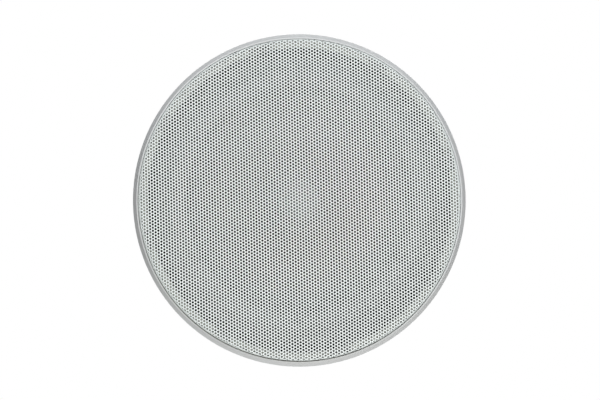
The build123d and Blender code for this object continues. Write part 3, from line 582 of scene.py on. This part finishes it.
SURROUND_SECTORS = 12
ROLL_MIDDLE_R = 68.0
ROLL_R = 5.5
ROLL_WALL = 0.6
ROLL_POINTS = 25
CONE_LAND_R = 58.5
surround_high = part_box("woofer_surround")[1]
rim_land_r = surround_high[0] * MM
rim_z = surround_high[2] * MM


def half_roll(radius, land_z):
    """One face of the surround: a flat land, part of a circle that swells towards the room, and a flat
    land. The circle starts and ends where its height is the land's."""
    start = math.asin((rim_z - land_z) / radius)
    turn = np.linspace(start, math.pi - start, ROLL_POINTS)
    roll = np.column_stack([ROLL_MIDDLE_R - radius * np.cos(turn), rim_z - radius * np.sin(turn)])
    return np.concatenate([[[CONE_LAND_R, land_z]], roll, [[rim_land_r, land_z]]])


flexing_ring("surround_sector", SURROUND_SECTORS, half_roll(ROLL_R + ROLL_WALL, rim_z - ROLL_WALL),
             half_roll(ROLL_R, rim_z), surround_rubber,
             "woofer_surround")


# Voice coil: round enamelled copper wire wound on a former of amber film, glued into the cone's neck. The
# spider, a disc of resin-dipped cotton with pressed waves, centres it.


def wound_wire():
    """Turns of wire one above the other: the height is the sine of z times the Turns input, without its
    sign. The colour is darker in the gaps between turns, painted shade, and in broad patches of noise."""
    inputs = {"Base": (0.7, 0.3, 0.1, 1.0), "Turns": 9000.0, "Rough": 0.3}
    tree, given, out = effect("wound_wire", inputs, SURFACE)
    where, axes = spot(tree)
    wave = maths(tree, "SINE", maths(tree, "MULTIPLY", axes[2], given["Turns"]))
    turns = maths(tree, "ABSOLUTE", wave)
    patchy = noise(tree, where, scale=120.0, detail=4.0)
    # Darker in the gaps between turns: painted shade, times a patchy noise.
    tone = shifted(tree, given["Base"], maths(tree, "MULTIPLY", turns, patchy), 0.9)
    give(tree, out, tone, raised(tree, patchy, given["Rough"], 0.2), turns)
    return tree


def woven_cloth():
    """A plain weave in x and y: two sines cross, and where their product is above zero the warp lies on
    top. The colour is darker where the weave is low, painted shade between the threads, and varies in
    patches."""
    inputs = {"Base": (0.5, 0.3, 0.1, 1.0), "Threads": 4000.0, "Rough": 0.8}
    tree, given, out = effect("woven_cloth", inputs, SURFACE)
    where, axes = spot(tree)
    warp = maths(tree, "SINE", maths(tree, "MULTIPLY", axes[0], given["Threads"]))
    weft = maths(tree, "SINE", maths(tree, "MULTIPLY", axes[1], given["Threads"]))
    over = maths(tree, "GREATER_THAN", maths(tree, "MULTIPLY", warp, weft), 0.0)
    top, under = maths(tree, "ABSOLUTE", warp), maths(tree, "ABSOLUTE", weft)
    height = maths(tree, "MULTIPLY_ADD", over, maths(tree, "SUBTRACT", top, under), under)
    # Darker where the weave is low: painted shade between the threads, times a patchy noise.
    weave_shade_and_tone = maths(tree, "MULTIPLY", height, noise(tree, where, 90.0))
    tone = shifted(tree, given["Base"], weave_shade_and_tone, 0.9)
    give(tree, out, tone, raised(tree, height, given["Rough"], 0.1), height)
    return tree


coil_values = {"Base": (0.72, 0.30, 0.12, 1.0), "Turns": 12500.0, "Rough": 0.22}
coil_copper = coated("coil_copper", wound_wire(), 0.00008, coil_values, Metallic=1.0)
dress(coil_copper, "voice_coil", "tweeter_voice_coil")
former_film = moulding("former_film", (0.42, 0.15, 0.025), 0.25, grain=400.0, spread=0.3, depth=0.00001)
dress(former_film, "voice_coil_former")
cloth_values = {"Base": (0.42, 0.26, 0.08, 1.0), "Threads": 5200.0, "Rough": 0.75}
spider_cloth = coated("spider_cloth", woven_cloth(), 0.0001, cloth_values)
SPIDER_SECTORS = 6
SPIDER_WALL = 0.4
SPIDER_WAVE = 2.0
SPIDER_Z = 38.0
FORMER_R = 12.7
WAVES_FROM = 16.2
WAVES_TO = 40.5
HALF_WAVES = 8
WAVE_STEPS = 16
spider_edge_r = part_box("spider")[1][0] * MM
wave_r = np.linspace(WAVES_FROM, WAVES_TO, WAVE_STEPS * HALF_WAVES + 1)
wave_turn = math.pi * HALF_WAVES * (wave_r - WAVES_FROM) / (WAVES_TO - WAVES_FROM)
wave_slope = SPIDER_WAVE * math.pi * HALF_WAVES / (WAVES_TO - WAVES_FROM) * np.cos(wave_turn)
spider_r = np.concatenate([[FORMER_R], wave_r, [spider_edge_r]])
spider_z = SPIDER_Z + np.concatenate([[0.0], SPIDER_WAVE * np.sin(wave_turn), [0.0]])
spider_wall = SPIDER_WALL * np.concatenate([[1.0], np.hypot(1.0, wave_slope), [1.0]])
flexing_ring("spider_sector", SPIDER_SECTORS, np.column_stack([spider_r, spider_z - spider_wall]),
             np.column_stack([spider_r, spider_z]), spider_cloth,
             "spider")


# Woofer motor: a ring of ferrite glued between two turned steel plates. The back plate and its pole are
# one turning. The plates are zinc plated and passivated, a bluish grey with lathe rings under the plating.
zinc_plate = lathed("zinc_plate", (0.43, 0.44, 0.46), 0.38, rings=2600.0, spread=0.45, depth=0.00006,
                    Metallic=1.0)
dress(zinc_plate, "top_plate", "pole_yoke", "tweeter_top_plate", "tweeter_yoke")
dress(ferrite, "ring_magnet")


# Tweeter: a thin anodised metal dome in a flared plastic faceplate, with its coil, plates and a small
# nickelled magnet in a cup behind. Its hollow post goes through the woofer's pole and ends in a thread.
tweeter_black = moulding("tweeter_black", (0.020, 0.020, 0.022), 0.40, grain=1700.0, spread=0.2)
dress(tweeter_black, "tweeter_faceplate", "tweeter_housing", "tweeter_post")
dome_grey = lathed("dome_grey", (0.125, 0.129, 0.133), 0.38, rings=16000.0, spread=0.2, depth=0.000005,
                   Metallic=0.9)
dress(dome_grey, "tweeter_dome")
bright_nickel = moulding("bright_nickel", (0.66, 0.63, 0.57), 0.18, grain=300.0, depth=0.000005,
                         Metallic=1.0)
dress(bright_nickel, "tweeter_magnet")


# Tweeter nut: a hexagon nut on the post's thread, against the back plate. Zinc-plated steel, with its
# corners turned off by a cone at both ends, and a countersunk bore.
NUT_LOW = 76.1
NUT_TOP = 80.6
NUT_BORE = 3.08
NUT_FLAT = 5.0
NUT_SINK = 0.5
NUT_LAND = 0.3
NUT_LIFT = 0.05
CONE_CLEAR = 0.1
PAST_CORNERS = 9.0
NUT_STEPS = 96
nut_turns = circle(NUT_STEPS)
nut_flats = NUT_FLAT / np.cos((nut_turns + math.pi / 6) % (math.pi / 3) - math.pi / 6)
nut_end = np.array([[NUT_BORE + NUT_SINK, 0.0], [NUT_FLAT - NUT_LAND, 0.0],
                    [PAST_CORNERS, NUT_LIFT], [PAST_CORNERS, NUT_SINK]])
nut_bore = np.array([[NUT_BORE, NUT_TOP - NUT_SINK], [NUT_BORE, NUT_LOW + NUT_SINK]])
nut_low = nut_end + np.array([0.0, NUT_LOW])
nut_top = nut_end[::-1] * np.array([1.0, -1.0]) + np.array([0.0, NUT_TOP])
nut_line = np.concatenate([nut_low, nut_top, nut_bore])
from_end = np.minimum(nut_line[:, 1] - NUT_LOW, NUT_TOP - nut_line[:, 1])
cone_off = NUT_FLAT + CONE_CLEAR + from_end * math.sqrt(3)
nut_r = np.minimum(np.minimum(nut_line[:, :1], cone_off[:, None]), nut_flats)
nut_points = spun(nut_r, nut_line[:, 1:], nut_turns)
nut_faces = closed_tube(len(nut_line), NUT_STEPS)
zinc_bright = moulding("zinc_bright", (0.60, 0.61, 0.63), 0.30, grain=1100.0, spread=0.3, depth=0.00002,
                       Metallic=1.0)
hexagon_nut = build("hexagon_nut", nut_points, [nut_faces], zinc_bright, "housing")
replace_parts(hexagon_nut, "tweeter_nut")


# Crossover board: glass-fibre laminate under green solder resist, on three posts of the frame. Wide
# copper areas show through the resist as paler fields with narrow gaps, and a printed circle marks the
# coil's place.
PRINT_R = 0.0131
PRINT_HALF = 0.0002
coil_low, coil_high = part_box("crossover_inductor")
coil_x = (coil_low[0] + coil_high[0]) / 2
coil_y = (coil_low[1] + coil_high[1]) / 2
board, board_tree, board_shader = finish("board_green", Specular_IOR_Level=0.5, Coat_Weight=0.2)
board_place, board_axes = spot(board_tree)
fields = place(board_tree, "ShaderNodeTexBrick", {
    "Vector": board_place, "Scale": 26.0, "Mortar Size": 0.012, "Brick Width": 0.42, "Row Height": 0.24,
    "Bias": 0.0, "Color1": (0.9, 0.9, 0.9, 1.0), "Color2": (0.6, 0.6, 0.6, 1.0),
    "Mortar": (0.0, 0.0, 0.0, 1.0)}, offset=0.37)
copper = place(board_tree, "ShaderNodeSeparateColor", {0: fields.outputs["Color"]}).outputs[0]
resist = blended(board_tree, copper, (0.006, 0.050, 0.022), (0.018, 0.125, 0.050))
from_coil = from_line(board_tree, board_axes, coil_x, coil_y)
printed = maths(board_tree, "COMPARE", from_coil, PRINT_R, PRINT_HALF)
board_tone = blended(board_tree, printed, resist, (0.62, 0.63, 0.60))
glass = noise(board_tree, board_place, 900.0)
cover(board_tree, board_shader, board_tone, raised(board_tree, glass, 0.26, 0.15), copper, 0.00004)
dress(board, "crossover_board")


# Board screws: three pan-head screws through the board into the posts. Zinc-plated steel with a cross
# recess, and a thread that forms its own way in the plastic.
BOARD_SCREW = {"head_r": 2.7, "head_h": 1.8, "shank_r": 1.2, "length": 9.6, "pitch": 0.9, "columns": 32}
POSTS = [(-85.0, -28.0), (-85.0, 28.0), (-81.0, 1.0)]
board_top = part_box("crossover_board")[1][2] * MM
post_places = [(x, y, board_top) for x, y in POSTS]
screws("board_screw_set", post_places, -1, BOARD_SCREW, zinc_bright, "housing", "board_screws")


# Inductor: an air-core coil of thick enamelled copper wire, wound in layers on a mandrel, baked stiff and
# glued to the board. Every turn shows on its four sides.
COIL_H = 14.0
COIL_CORE_R = 5.0
COIL_TURNS = 13
COIL_LAYERS = 7
COIL_STEPS = 96
WIRE = COIL_H / COIL_TURNS
TURN_STEPS = 6
GROOVE = 0.34


def wound_side(count):
    """Distance along one side of a winding, in wires, and how far the surface sinks between the turns: the
    groove's depth times one less the sine over each wire."""
    steps = np.arange(count * TURN_STEPS) / TURN_STEPS
    return steps, GROOVE * WIRE * (1.0 - np.abs(np.sin(math.pi * steps)))


coil_bottom, coil_top = coil_low[2] * MM, coil_high[2] * MM
coil_out = (coil_high[0] - coil_low[0]) * MM / 2
layer = (coil_out - COIL_CORE_R) / COIL_LAYERS
low_u, low_sink = wound_side(COIL_LAYERS)
tall_u, tall_sink = wound_side(COIL_TURNS)
wound_r = np.concatenate([COIL_CORE_R + low_u * layer, coil_out - tall_sink,
                          coil_out - low_u * layer, COIL_CORE_R + tall_sink])
wound_z = np.concatenate([coil_bottom + low_sink, coil_bottom + tall_u * WIRE,
                          coil_top - low_sink, coil_top - tall_u * WIRE])
wound_points = spun(wound_r[:, None], wound_z[:, None], circle(COIL_STEPS))
wound_points += np.array([coil_x * MM, coil_y * MM, 0.0])
wound_faces = closed_tube(len(wound_r), COIL_STEPS)
enamel = moulding("enamelled_copper", (0.62, 0.23, 0.085), 0.26, grain=260.0, spread=0.5, depth=0.00002,
                  Metallic=0.9, Coat_Weight=0.3)
wound_inductor = build("wound_inductor", wound_points, [wound_faces], enamel, "housing")
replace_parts(wound_inductor, "crossover_inductor")


# Film capacitor: a roll of metallised film in yellow tape, with its ends filled with pale epoxy. It lies
# on the board on its two tinned wire legs.
END_SKIN = 0.0001
film_low, film_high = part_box("crossover_film_capacitor")
film_y, film_half = (film_low[1] + film_high[1]) / 2, (film_high[1] - film_low[1]) / 2
film, film_tree, film_shader = finish("film_yellow", Coat_Weight=0.15)
film_place, film_axes = spot(film_tree)
from_middle = maths(film_tree, "ABSOLUTE", maths(film_tree, "SUBTRACT", film_axes[1], film_y))
filled = maths(film_tree, "GREATER_THAN", from_middle, film_half - END_SKIN)
wraps = noise(film_tree, film_place, 160.0, 4.0)
tape = blended(film_tree, wraps, (0.62, 0.36, 0.030), (0.78, 0.50, 0.060))
film_tone = blended(film_tree, filled, tape, (0.50, 0.40, 0.20))
film_rough = raised(film_tree, filled, raised(film_tree, wraps, 0.28, 0.1), 0.25)
cover(film_tree, film_shader, film_tone, film_rough, wraps, 0.0001)
dress(film, "crossover_film_capacitor")

LEG_R = 0.4
LEG_OUT = 1.7
LEG_BEND = 1.1
LEG_ROOT = 0.5
LEG_CLEAR = 0.05
LEG_SIDES = 12
LEG_BEND_POINTS = 7
tinned = moulding("tinned_wire", (0.62, 0.61, 0.58), 0.30, grain=900.0, spread=0.3, depth=0.00002,
                  Metallic=1.0)
film_x = (film_low[0] + film_high[0]) / 2 * MM
film_z = (film_low[2] + film_high[2]) / 2 * MM
leg_turn = np.linspace(0.0, math.pi / 2, LEG_BEND_POINTS)
leg_out = np.concatenate([[-LEG_ROOT], LEG_OUT - LEG_BEND + LEG_BEND * np.sin(leg_turn), [LEG_OUT]])
leg_z = np.concatenate([[film_z], film_z - LEG_BEND + LEG_BEND * np.cos(leg_turn),
                        [board_top + LEG_CLEAR]])
leg_aim = np.concatenate([[0.0], leg_turn, [math.pi / 2]])
leg_round = circle(LEG_SIDES)


def leg_points(end_y, way):
    """A wire leg: a circle carried out of the roll's end, round a quarter bend and down to the board."""
    side = LEG_R * np.cos(leg_round) * way
    lift = LEG_R * np.sin(leg_round)
    x = np.repeat(film_x + side[None, :], len(leg_out), 0)
    y = end_y + way * (leg_out[:, None] + np.outer(np.sin(leg_aim), lift))
    z = leg_z[:, None] + np.outer(np.cos(leg_aim), lift)
    rings = np.stack([x, y, z], -1)
    return np.concatenate([rings[0].mean(0)[None], rings.reshape(-1, 3), rings[-1].mean(0)[None]])


legs = [leg_points(film_low[1] * MM, -1), leg_points(film_high[1] * MM, 1)]
leg_blocks = capped_tube(len(leg_out), LEG_SIDES)
leg_faces = [np.concatenate([block, block + len(legs[0])])[:, ::-1] for block in leg_blocks]
build("capacitor_legs", np.concatenate(legs), leg_faces, tinned, "housing")


# Round capacitor: an electrolytic can in a black shrink sleeve with a pale stripe on its negative side.
# The can's aluminium top shows inside the sleeve's edge, with the scored cross of its vent.
BARE_R = 0.0031
STRIPE_V = -0.0031
SCORE_HALF = 0.00016
TOP_SKIN = 0.00005
can_low, can_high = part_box("crossover_round_capacitor")
can_x, can_y = (can_low[0] + can_high[0]) / 2, (can_low[1] + can_high[1]) / 2
sleeve, sleeve_tree, sleeve_shader = finish("sleeve_black", Coat_Weight=0.2)
sleeve_place, sleeve_axes = spot(sleeve_tree)
can_u = maths(sleeve_tree, "SUBTRACT", sleeve_axes[0], can_x)
can_v = maths(sleeve_tree, "SUBTRACT", sleeve_axes[1], can_y)
within = maths(sleeve_tree, "LESS_THAN", from_line(sleeve_tree, sleeve_axes, can_x, can_y), BARE_R)
on_top = maths(sleeve_tree, "GREATER_THAN", sleeve_axes[2], can_high[2] - TOP_SKIN)
bare = maths(sleeve_tree, "MULTIPLY", on_top, within)
from_cross = maths(sleeve_tree, "MINIMUM", maths(sleeve_tree, "ABSOLUTE", can_u),
                   maths(sleeve_tree, "ABSOLUTE", can_v))
score = maths(sleeve_tree, "LESS_THAN", from_cross, SCORE_HALF)
striped = maths(sleeve_tree, "LESS_THAN", can_v, STRIPE_V)
dull = noise(sleeve_tree, sleeve_place, 500.0)
wrap = blended(sleeve_tree, striped, (0.015, 0.015, 0.017), (0.42, 0.43, 0.43))
# The scored cross is darker than the can's top: painted shade in its grooves.
metal = blended(sleeve_tree, score, (0.60, 0.61, 0.62), (0.22, 0.22, 0.23))
can_tone = blended(sleeve_tree, bare, wrap, metal)
can_height = maths(sleeve_tree, "SUBTRACT", dull, maths(sleeve_tree, "MULTIPLY", score, bare))
sleeve_tree.links.new(bare, sleeve_shader.inputs["Metallic"])
cover(sleeve_tree, sleeve_shader, can_tone, raised(sleeve_tree, dull, 0.25, 0.2), can_height, 0.00006)
dress(sleeve, "crossover_round_capacitor")


# Resistor: a wire-wound element laid in a white ceramic trough and potted with cement, chalky and pitted.
# It lies on the board.
cement, cement_tree, cement_shader = finish("cement_white", Specular_IOR_Level=0.2)
cement_place, _ = spot(cement_tree)
pits = pitted(cement_tree, 900.0)
dusty = noise(cement_tree, cement_place, 350.0, 5.0)
chalk = blended(cement_tree, dusty, (0.52, 0.51, 0.47), (0.74, 0.73, 0.69))
cover(cement_tree, cement_shader, chalk, raised(cement_tree, pits, 0.78, 0.1), pits, 0.00025)
dress(cement, "crossover_resistor")


# Terminal block: a black moulding soldered to the board's edge, with a wire slot under each spring button.
# The positive button is red, the negative one black, both in a smoother plastic than the block.
terminal_black = moulding("terminal_black", (0.022, 0.022, 0.024), 0.44, grain=1600.0, spread=0.2)
dress(terminal_black, "terminal_block")
for name, colour, node in (("button_red", (0.42, 0.018, 0.014), "terminal_button_positive"),
                           ("button_black", (0.016, 0.016, 0.017), "terminal_button_negative")):
    dress(moulding(name, colour, 0.30, grain=700.0, spread=0.12, depth=0.00002), node)


# Tags and leads: a strip of brown laminate riveted to the basket carries two tinned lugs. Braided tinsel
# runs from them to the cone, a red and a black lead to the board, and a round black twin lead from the
# board to the tweeter's post.
strip_laminate = moulding("strip_laminate", (0.16, 0.065, 0.022), 0.55, grain=600.0, spread=0.8,
                          depth=0.00005)
dress(strip_laminate, "tag_strip")
dress(tinned, "tag_lugs")
tinsel, tinsel_tree, tinsel_shader = finish("tinsel_braid", Metallic=0.8)
tinsel_place, _ = spot(tinsel_tree)
strands = place(tinsel_tree, "ShaderNodeTexWave", {
    "Vector": tinsel_place, "Scale": 900.0, "Distortion": 1.5}, bands_direction="DIAGONAL").outputs["Color"]
strand = place(tinsel_tree, "ShaderNodeSeparateColor", {0: strands}).outputs[0]
braid = blended(tinsel_tree, strand, (0.30, 0.17, 0.09), (0.62, 0.58, 0.52))
cover(tinsel_tree, tinsel_shader, braid, raised(tinsel_tree, strand, 0.35, 0.2), strand, 0.0002)
TINSEL_ROUTE = [(-54.5, 40.65), (-54.5, 36.65), (-60.92, 26.0), (-52.0, 22.5), (-39.1, 23.6),
                (-35.85, 17.4)]
TINSEL_Y = 4.0
TINSEL_R = 0.6
TINSEL_SIDES = 18
STRANDS = 3
LAY = 4.0
STRAND_RELIEF = 0.22


def smooth_line(route):
    """Points along a smooth spline that has the route's points as its control points."""
    curve = bpy.data.curves.new("route", "CURVE")
    curve.dimensions = "3D"
    spline = curve.splines.new("NURBS")
    spline.points.add(len(route) - 1)
    weighted = np.column_stack([route, np.ones(len(route))])
    spline.points.foreach_set("co", weighted.astype(np.float32).ravel())
    spline.order_u = 3
    spline.use_endpoint_u = True
    holder = bpy.data.objects.new("route", curve)
    wire = bpy.data.meshes.new_from_object(holder)
    line = np.empty(3 * len(wire.vertices), np.float32)
    wire.vertices.foreach_get("co", line)
    bpy.data.objects.remove(holder)
    bpy.data.curves.remove(curve)
    bpy.data.meshes.remove(wire)
    return line.reshape(-1, 3).astype(float)


def twisted_lead(y):
    """A lead of twisted strands at one y. Its section is carried along the route, and its radius dips
    between the strands, at angles that turn once in each lay."""
    line = smooth_line([(x, y, z) for x, z in TINSEL_ROUTE])
    along = np.gradient(line, axis=0)
    along /= np.linalg.norm(along, axis=1)[:, None]
    side = np.array([0.0, 1.0, 0.0])
    lift = np.cross(along, side)
    turns = circle(TINSEL_SIDES)
    travelled = np.concatenate([[0.0], np.cumsum(np.linalg.norm(np.diff(line, axis=0), axis=1))])
    phase = STRANDS / 2 * (turns - 2 * math.pi * travelled[:, None] / LAY)
    radius = TINSEL_R * (1.0 - STRAND_RELIEF * (1.0 - np.abs(np.cos(phase))))
    sideways = (radius * np.cos(turns))[..., None] * side
    upward = (radius * np.sin(turns))[..., None] * lift[:, None]
    rings = line[:, None] + sideways + upward
    points = np.concatenate([line[:1], rings.reshape(-1, 3), line[-1:]])
    return points, capped_tube(len(line), TINSEL_SIDES)


tinsel_points, tinsel_blocks = twisted_lead(-TINSEL_Y)
other_points, _ = twisted_lead(TINSEL_Y)
both_points = np.concatenate([tinsel_points, other_points])
tinsel_faces = [np.concatenate([block, block + len(tinsel_points)]) for block in tinsel_blocks]
tinsel_pair = build("tinsel_pair", both_points, tinsel_faces, tinsel)
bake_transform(tinsel_pair)
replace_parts(tinsel_pair, "tinsel_leads")

pair, pair_tree, pair_shader = finish("lead_pair")
pair_place, pair_axes = spot(pair_tree)
wipe = noise(pair_tree, pair_place, 400.0)
is_red = maths(pair_tree, "GREATER_THAN", pair_axes[1], 0.0)
red = blended(pair_tree, wipe, (0.33, 0.012, 0.010), (0.48, 0.022, 0.018))
black = blended(pair_tree, wipe, (0.010, 0.010, 0.011), (0.026, 0.026, 0.028))
pair_tone = blended(pair_tree, is_red, black, red)
cover(pair_tree, pair_shader, pair_tone, raised(pair_tree, wipe, 0.34, 0.15), wipe, 0.00003)
dress(pair, "woofer_leads")
lead_black = moulding("lead_black", (0.016, 0.016, 0.017), 0.42, grain=800.0, spread=0.4, depth=0.00003)
dress(lead_black, "tweeter_lead")


# Ceiling clamps: four long zinc-plated screws with coarse threads and blackened heads, turned from the
# room, each in its tower. A dog of glass-filled nylon runs on each: it swings out over the ceiling and is
# drawn down on to it.
CLAMP_SCREW = {"head_r": 3.8, "head_h": 2.4, "shank_r": 2.0, "length": 57.0, "pitch": 1.4, "columns": 24}
CLAMP_R = 94.0
CLAMP_SEAT_Z = 6.0
CLAMP_ANGLES = np.radians([45.0, 135.0, 225.0, 315.0])
clamp_nylon = moulding("clamp_nylon", (0.026, 0.026, 0.028), 0.56, grain=900.0, spread=0.6,
                       depth=0.00006)
clamp_zinc, clamp_tree, clamp_shader = finish("clamp_zinc", Metallic=1.0)
clamp_place, clamp_axes = spot(clamp_tree)
bright = maths(clamp_tree, "GREATER_THAN", clamp_axes[2], CLAMP_SEAT_Z / MM)
cloudy = noise(clamp_tree, clamp_place, 300.0, 4.0)
zinc = blended(clamp_tree, cloudy, (0.42, 0.43, 0.45), (0.66, 0.67, 0.69))
clamp_tone = blended(clamp_tree, bright, (0.030, 0.030, 0.032), zinc)
cover(clamp_tree, clamp_shader, clamp_tone, raised(clamp_tree, cloudy, 0.24, 0.2), cloudy, 0.00002)
for number, angle in enumerate(CLAMP_ANGLES, 1):
    seat = spun(np.array([CLAMP_R]), CLAMP_SEAT_Z, angle)
    body = "clamp_screw_%d" % number
    screws("clamp_thread_%d" % number, seat, 1, CLAMP_SCREW, clamp_zinc, body, body)
    dress(clamp_nylon, "clamp_dog_%d" % number)


# Camera: up at the middle of the grille from a little to one side, with the room's far side at the top,
# as the photograph has it. The ring is 332 of the frame's 600 pixels wide, and sits a little left of the
# middle.
LENS = 100.0
SENSOR = 36.0
FRAME_PIXELS = 600
RING_HALF_PIXELS = 166.55
camera_data = bpy.data.cameras.new("camera")
camera_data.lens = LENS
camera_data.sensor_width = SENSOR
camera_data.clip_end = 50.0
camera = bpy.data.objects.new("camera", camera_data)
bpy.context.scene.collection.objects.link(camera)
camera_gap = cad_high[0] * LENS * FRAME_PIXELS / (SENSOR * RING_HALF_PIXELS)
camera_aim = Vector((0.00035, 0.00014, -0.0012))
camera_off = Vector((-0.012, 0.045, -camera_gap))
camera.location = camera_aim + camera_off
camera_pitch = math.pi + math.atan(camera_off[1] / camera_gap)
camera.rotation_euler = (camera_pitch, -math.atan(camera_off[0] / camera_gap), 0.0)
bpy.context.scene.camera = camera


# Studio: a wide pale floor under the camera, softboxes towards the top and bottom of the picture, one
# cooler and one warmer, a weak one in front and one over the speaker's back. The dim white room looks
# plain white behind the object, and meets the floor's tone at the horizon in a soft cove.
FLOOR_Z = -1.4
FLOOR_HALF = 30.0
FLOOR_GREY = 0.85
FLOOR_GLOW = 0.75
ROOM_LIGHT = 0.045
COVE_TOP = 0.35


def shown(tree):
    """One for rays from the camera, off gloss and through glass, which see the pale stage, and nought for
    others."""
    paths = place(tree, "ShaderNodeLightPath").outputs
    mirrored = maths(tree, "MAXIMUM", paths["Is Camera Ray"], paths["Is Glossy Ray"])
    return maths(tree, "MAXIMUM", mirrored, paths["Is Transmission Ray"])


floor_mesh = bpy.data.meshes.new("floor")
floor_signs = ((-1, -1), (1, -1), (1, 1), (-1, 1))
floor_corners = [(x * FLOOR_HALF, y * FLOOR_HALF, FLOOR_Z) for x, y in floor_signs]
floor_mesh.from_pydata(floor_corners, [], [(0, 1, 2, 3)])
floor = bpy.data.objects.new("floor", floor_mesh)
bpy.context.scene.collection.objects.link(floor)
floor_paint, floor_tree, floor_shader = finish("floor_white", Roughness=0.9, Specular_IOR_Level=0.0)
floor_shader.inputs["Base Color"].default_value = (FLOOR_GREY, FLOOR_GREY, FLOOR_GREY, 1.0)
floor_shader.inputs["Emission Color"].default_value = (1.0, 1.0, 1.0, 1.0)
floor_glow = maths(floor_tree, "MULTIPLY", shown(floor_tree), FLOOR_GLOW)
floor_tree.links.new(floor_glow, floor_shader.inputs["Emission Strength"])
floor_mesh.materials.append(floor_paint)


def softbox(name, where, width, height, watts, tint=(1.0, 1.0, 1.0)):
    """An area lamp at a place, turned to the object, that the camera doesn't see."""
    data = bpy.data.lights.new(name, "AREA")
    data.shape = "RECTANGLE"
    data.size = width
    data.size_y = height
    data.energy = watts
    data.color = tint
    lamp = bpy.data.objects.new(name, data)
    bpy.context.scene.collection.objects.link(lamp)
    lamp.location = where
    lamp.rotation_euler = (-Vector(where)).to_track_quat("-Z", "Y").to_euler()
    lamp.visible_camera = False


softbox("box_top", (0.10, -1.0, -0.75), 0.4, 0.5, 9.3, (0.985, 0.995, 1.0))
softbox("box_bottom", (0.10, 1.0, -0.75), 0.4, 0.5, 9.2, (1.0, 0.99, 0.96))
softbox("box_front", (0.04, 0.0, -1.3), 0.3, 0.9, 3.1, (0.97, 0.985, 1.0))
softbox("box_back", (0.25, -0.35, 1.7), 1.6, 1.6, 30.0)

world = bpy.data.worlds.new("white_room")
bpy.context.scene.world = world
world.use_nodes = True
sky = world.node_tree
floor_level = FLOOR_GLOW + FLOOR_GREY * ROOM_LIGHT
heading = place(sky, "ShaderNodeTexCoord").outputs["Generated"]
upward = place(sky, "ShaderNodeSeparateXYZ", {0: heading}).outputs[2]
cove = place(sky, "ShaderNodeMapRange", {
    "Value": upward, "From Max": COVE_TOP, "To Min": floor_level}).outputs[0]
level = maths(sky, "MULTIPLY_ADD", shown(sky), maths(sky, "SUBTRACT", cove, ROOM_LIGHT), ROOM_LIGHT)
sky.links.new(level, sky.nodes["Background"].inputs["Strength"])
sky.nodes["Background"].inputs["Color"].default_value = (1.0, 1.0, 1.0, 1.0)
bpy.context.scene.view_settings.view_transform = "Standard"
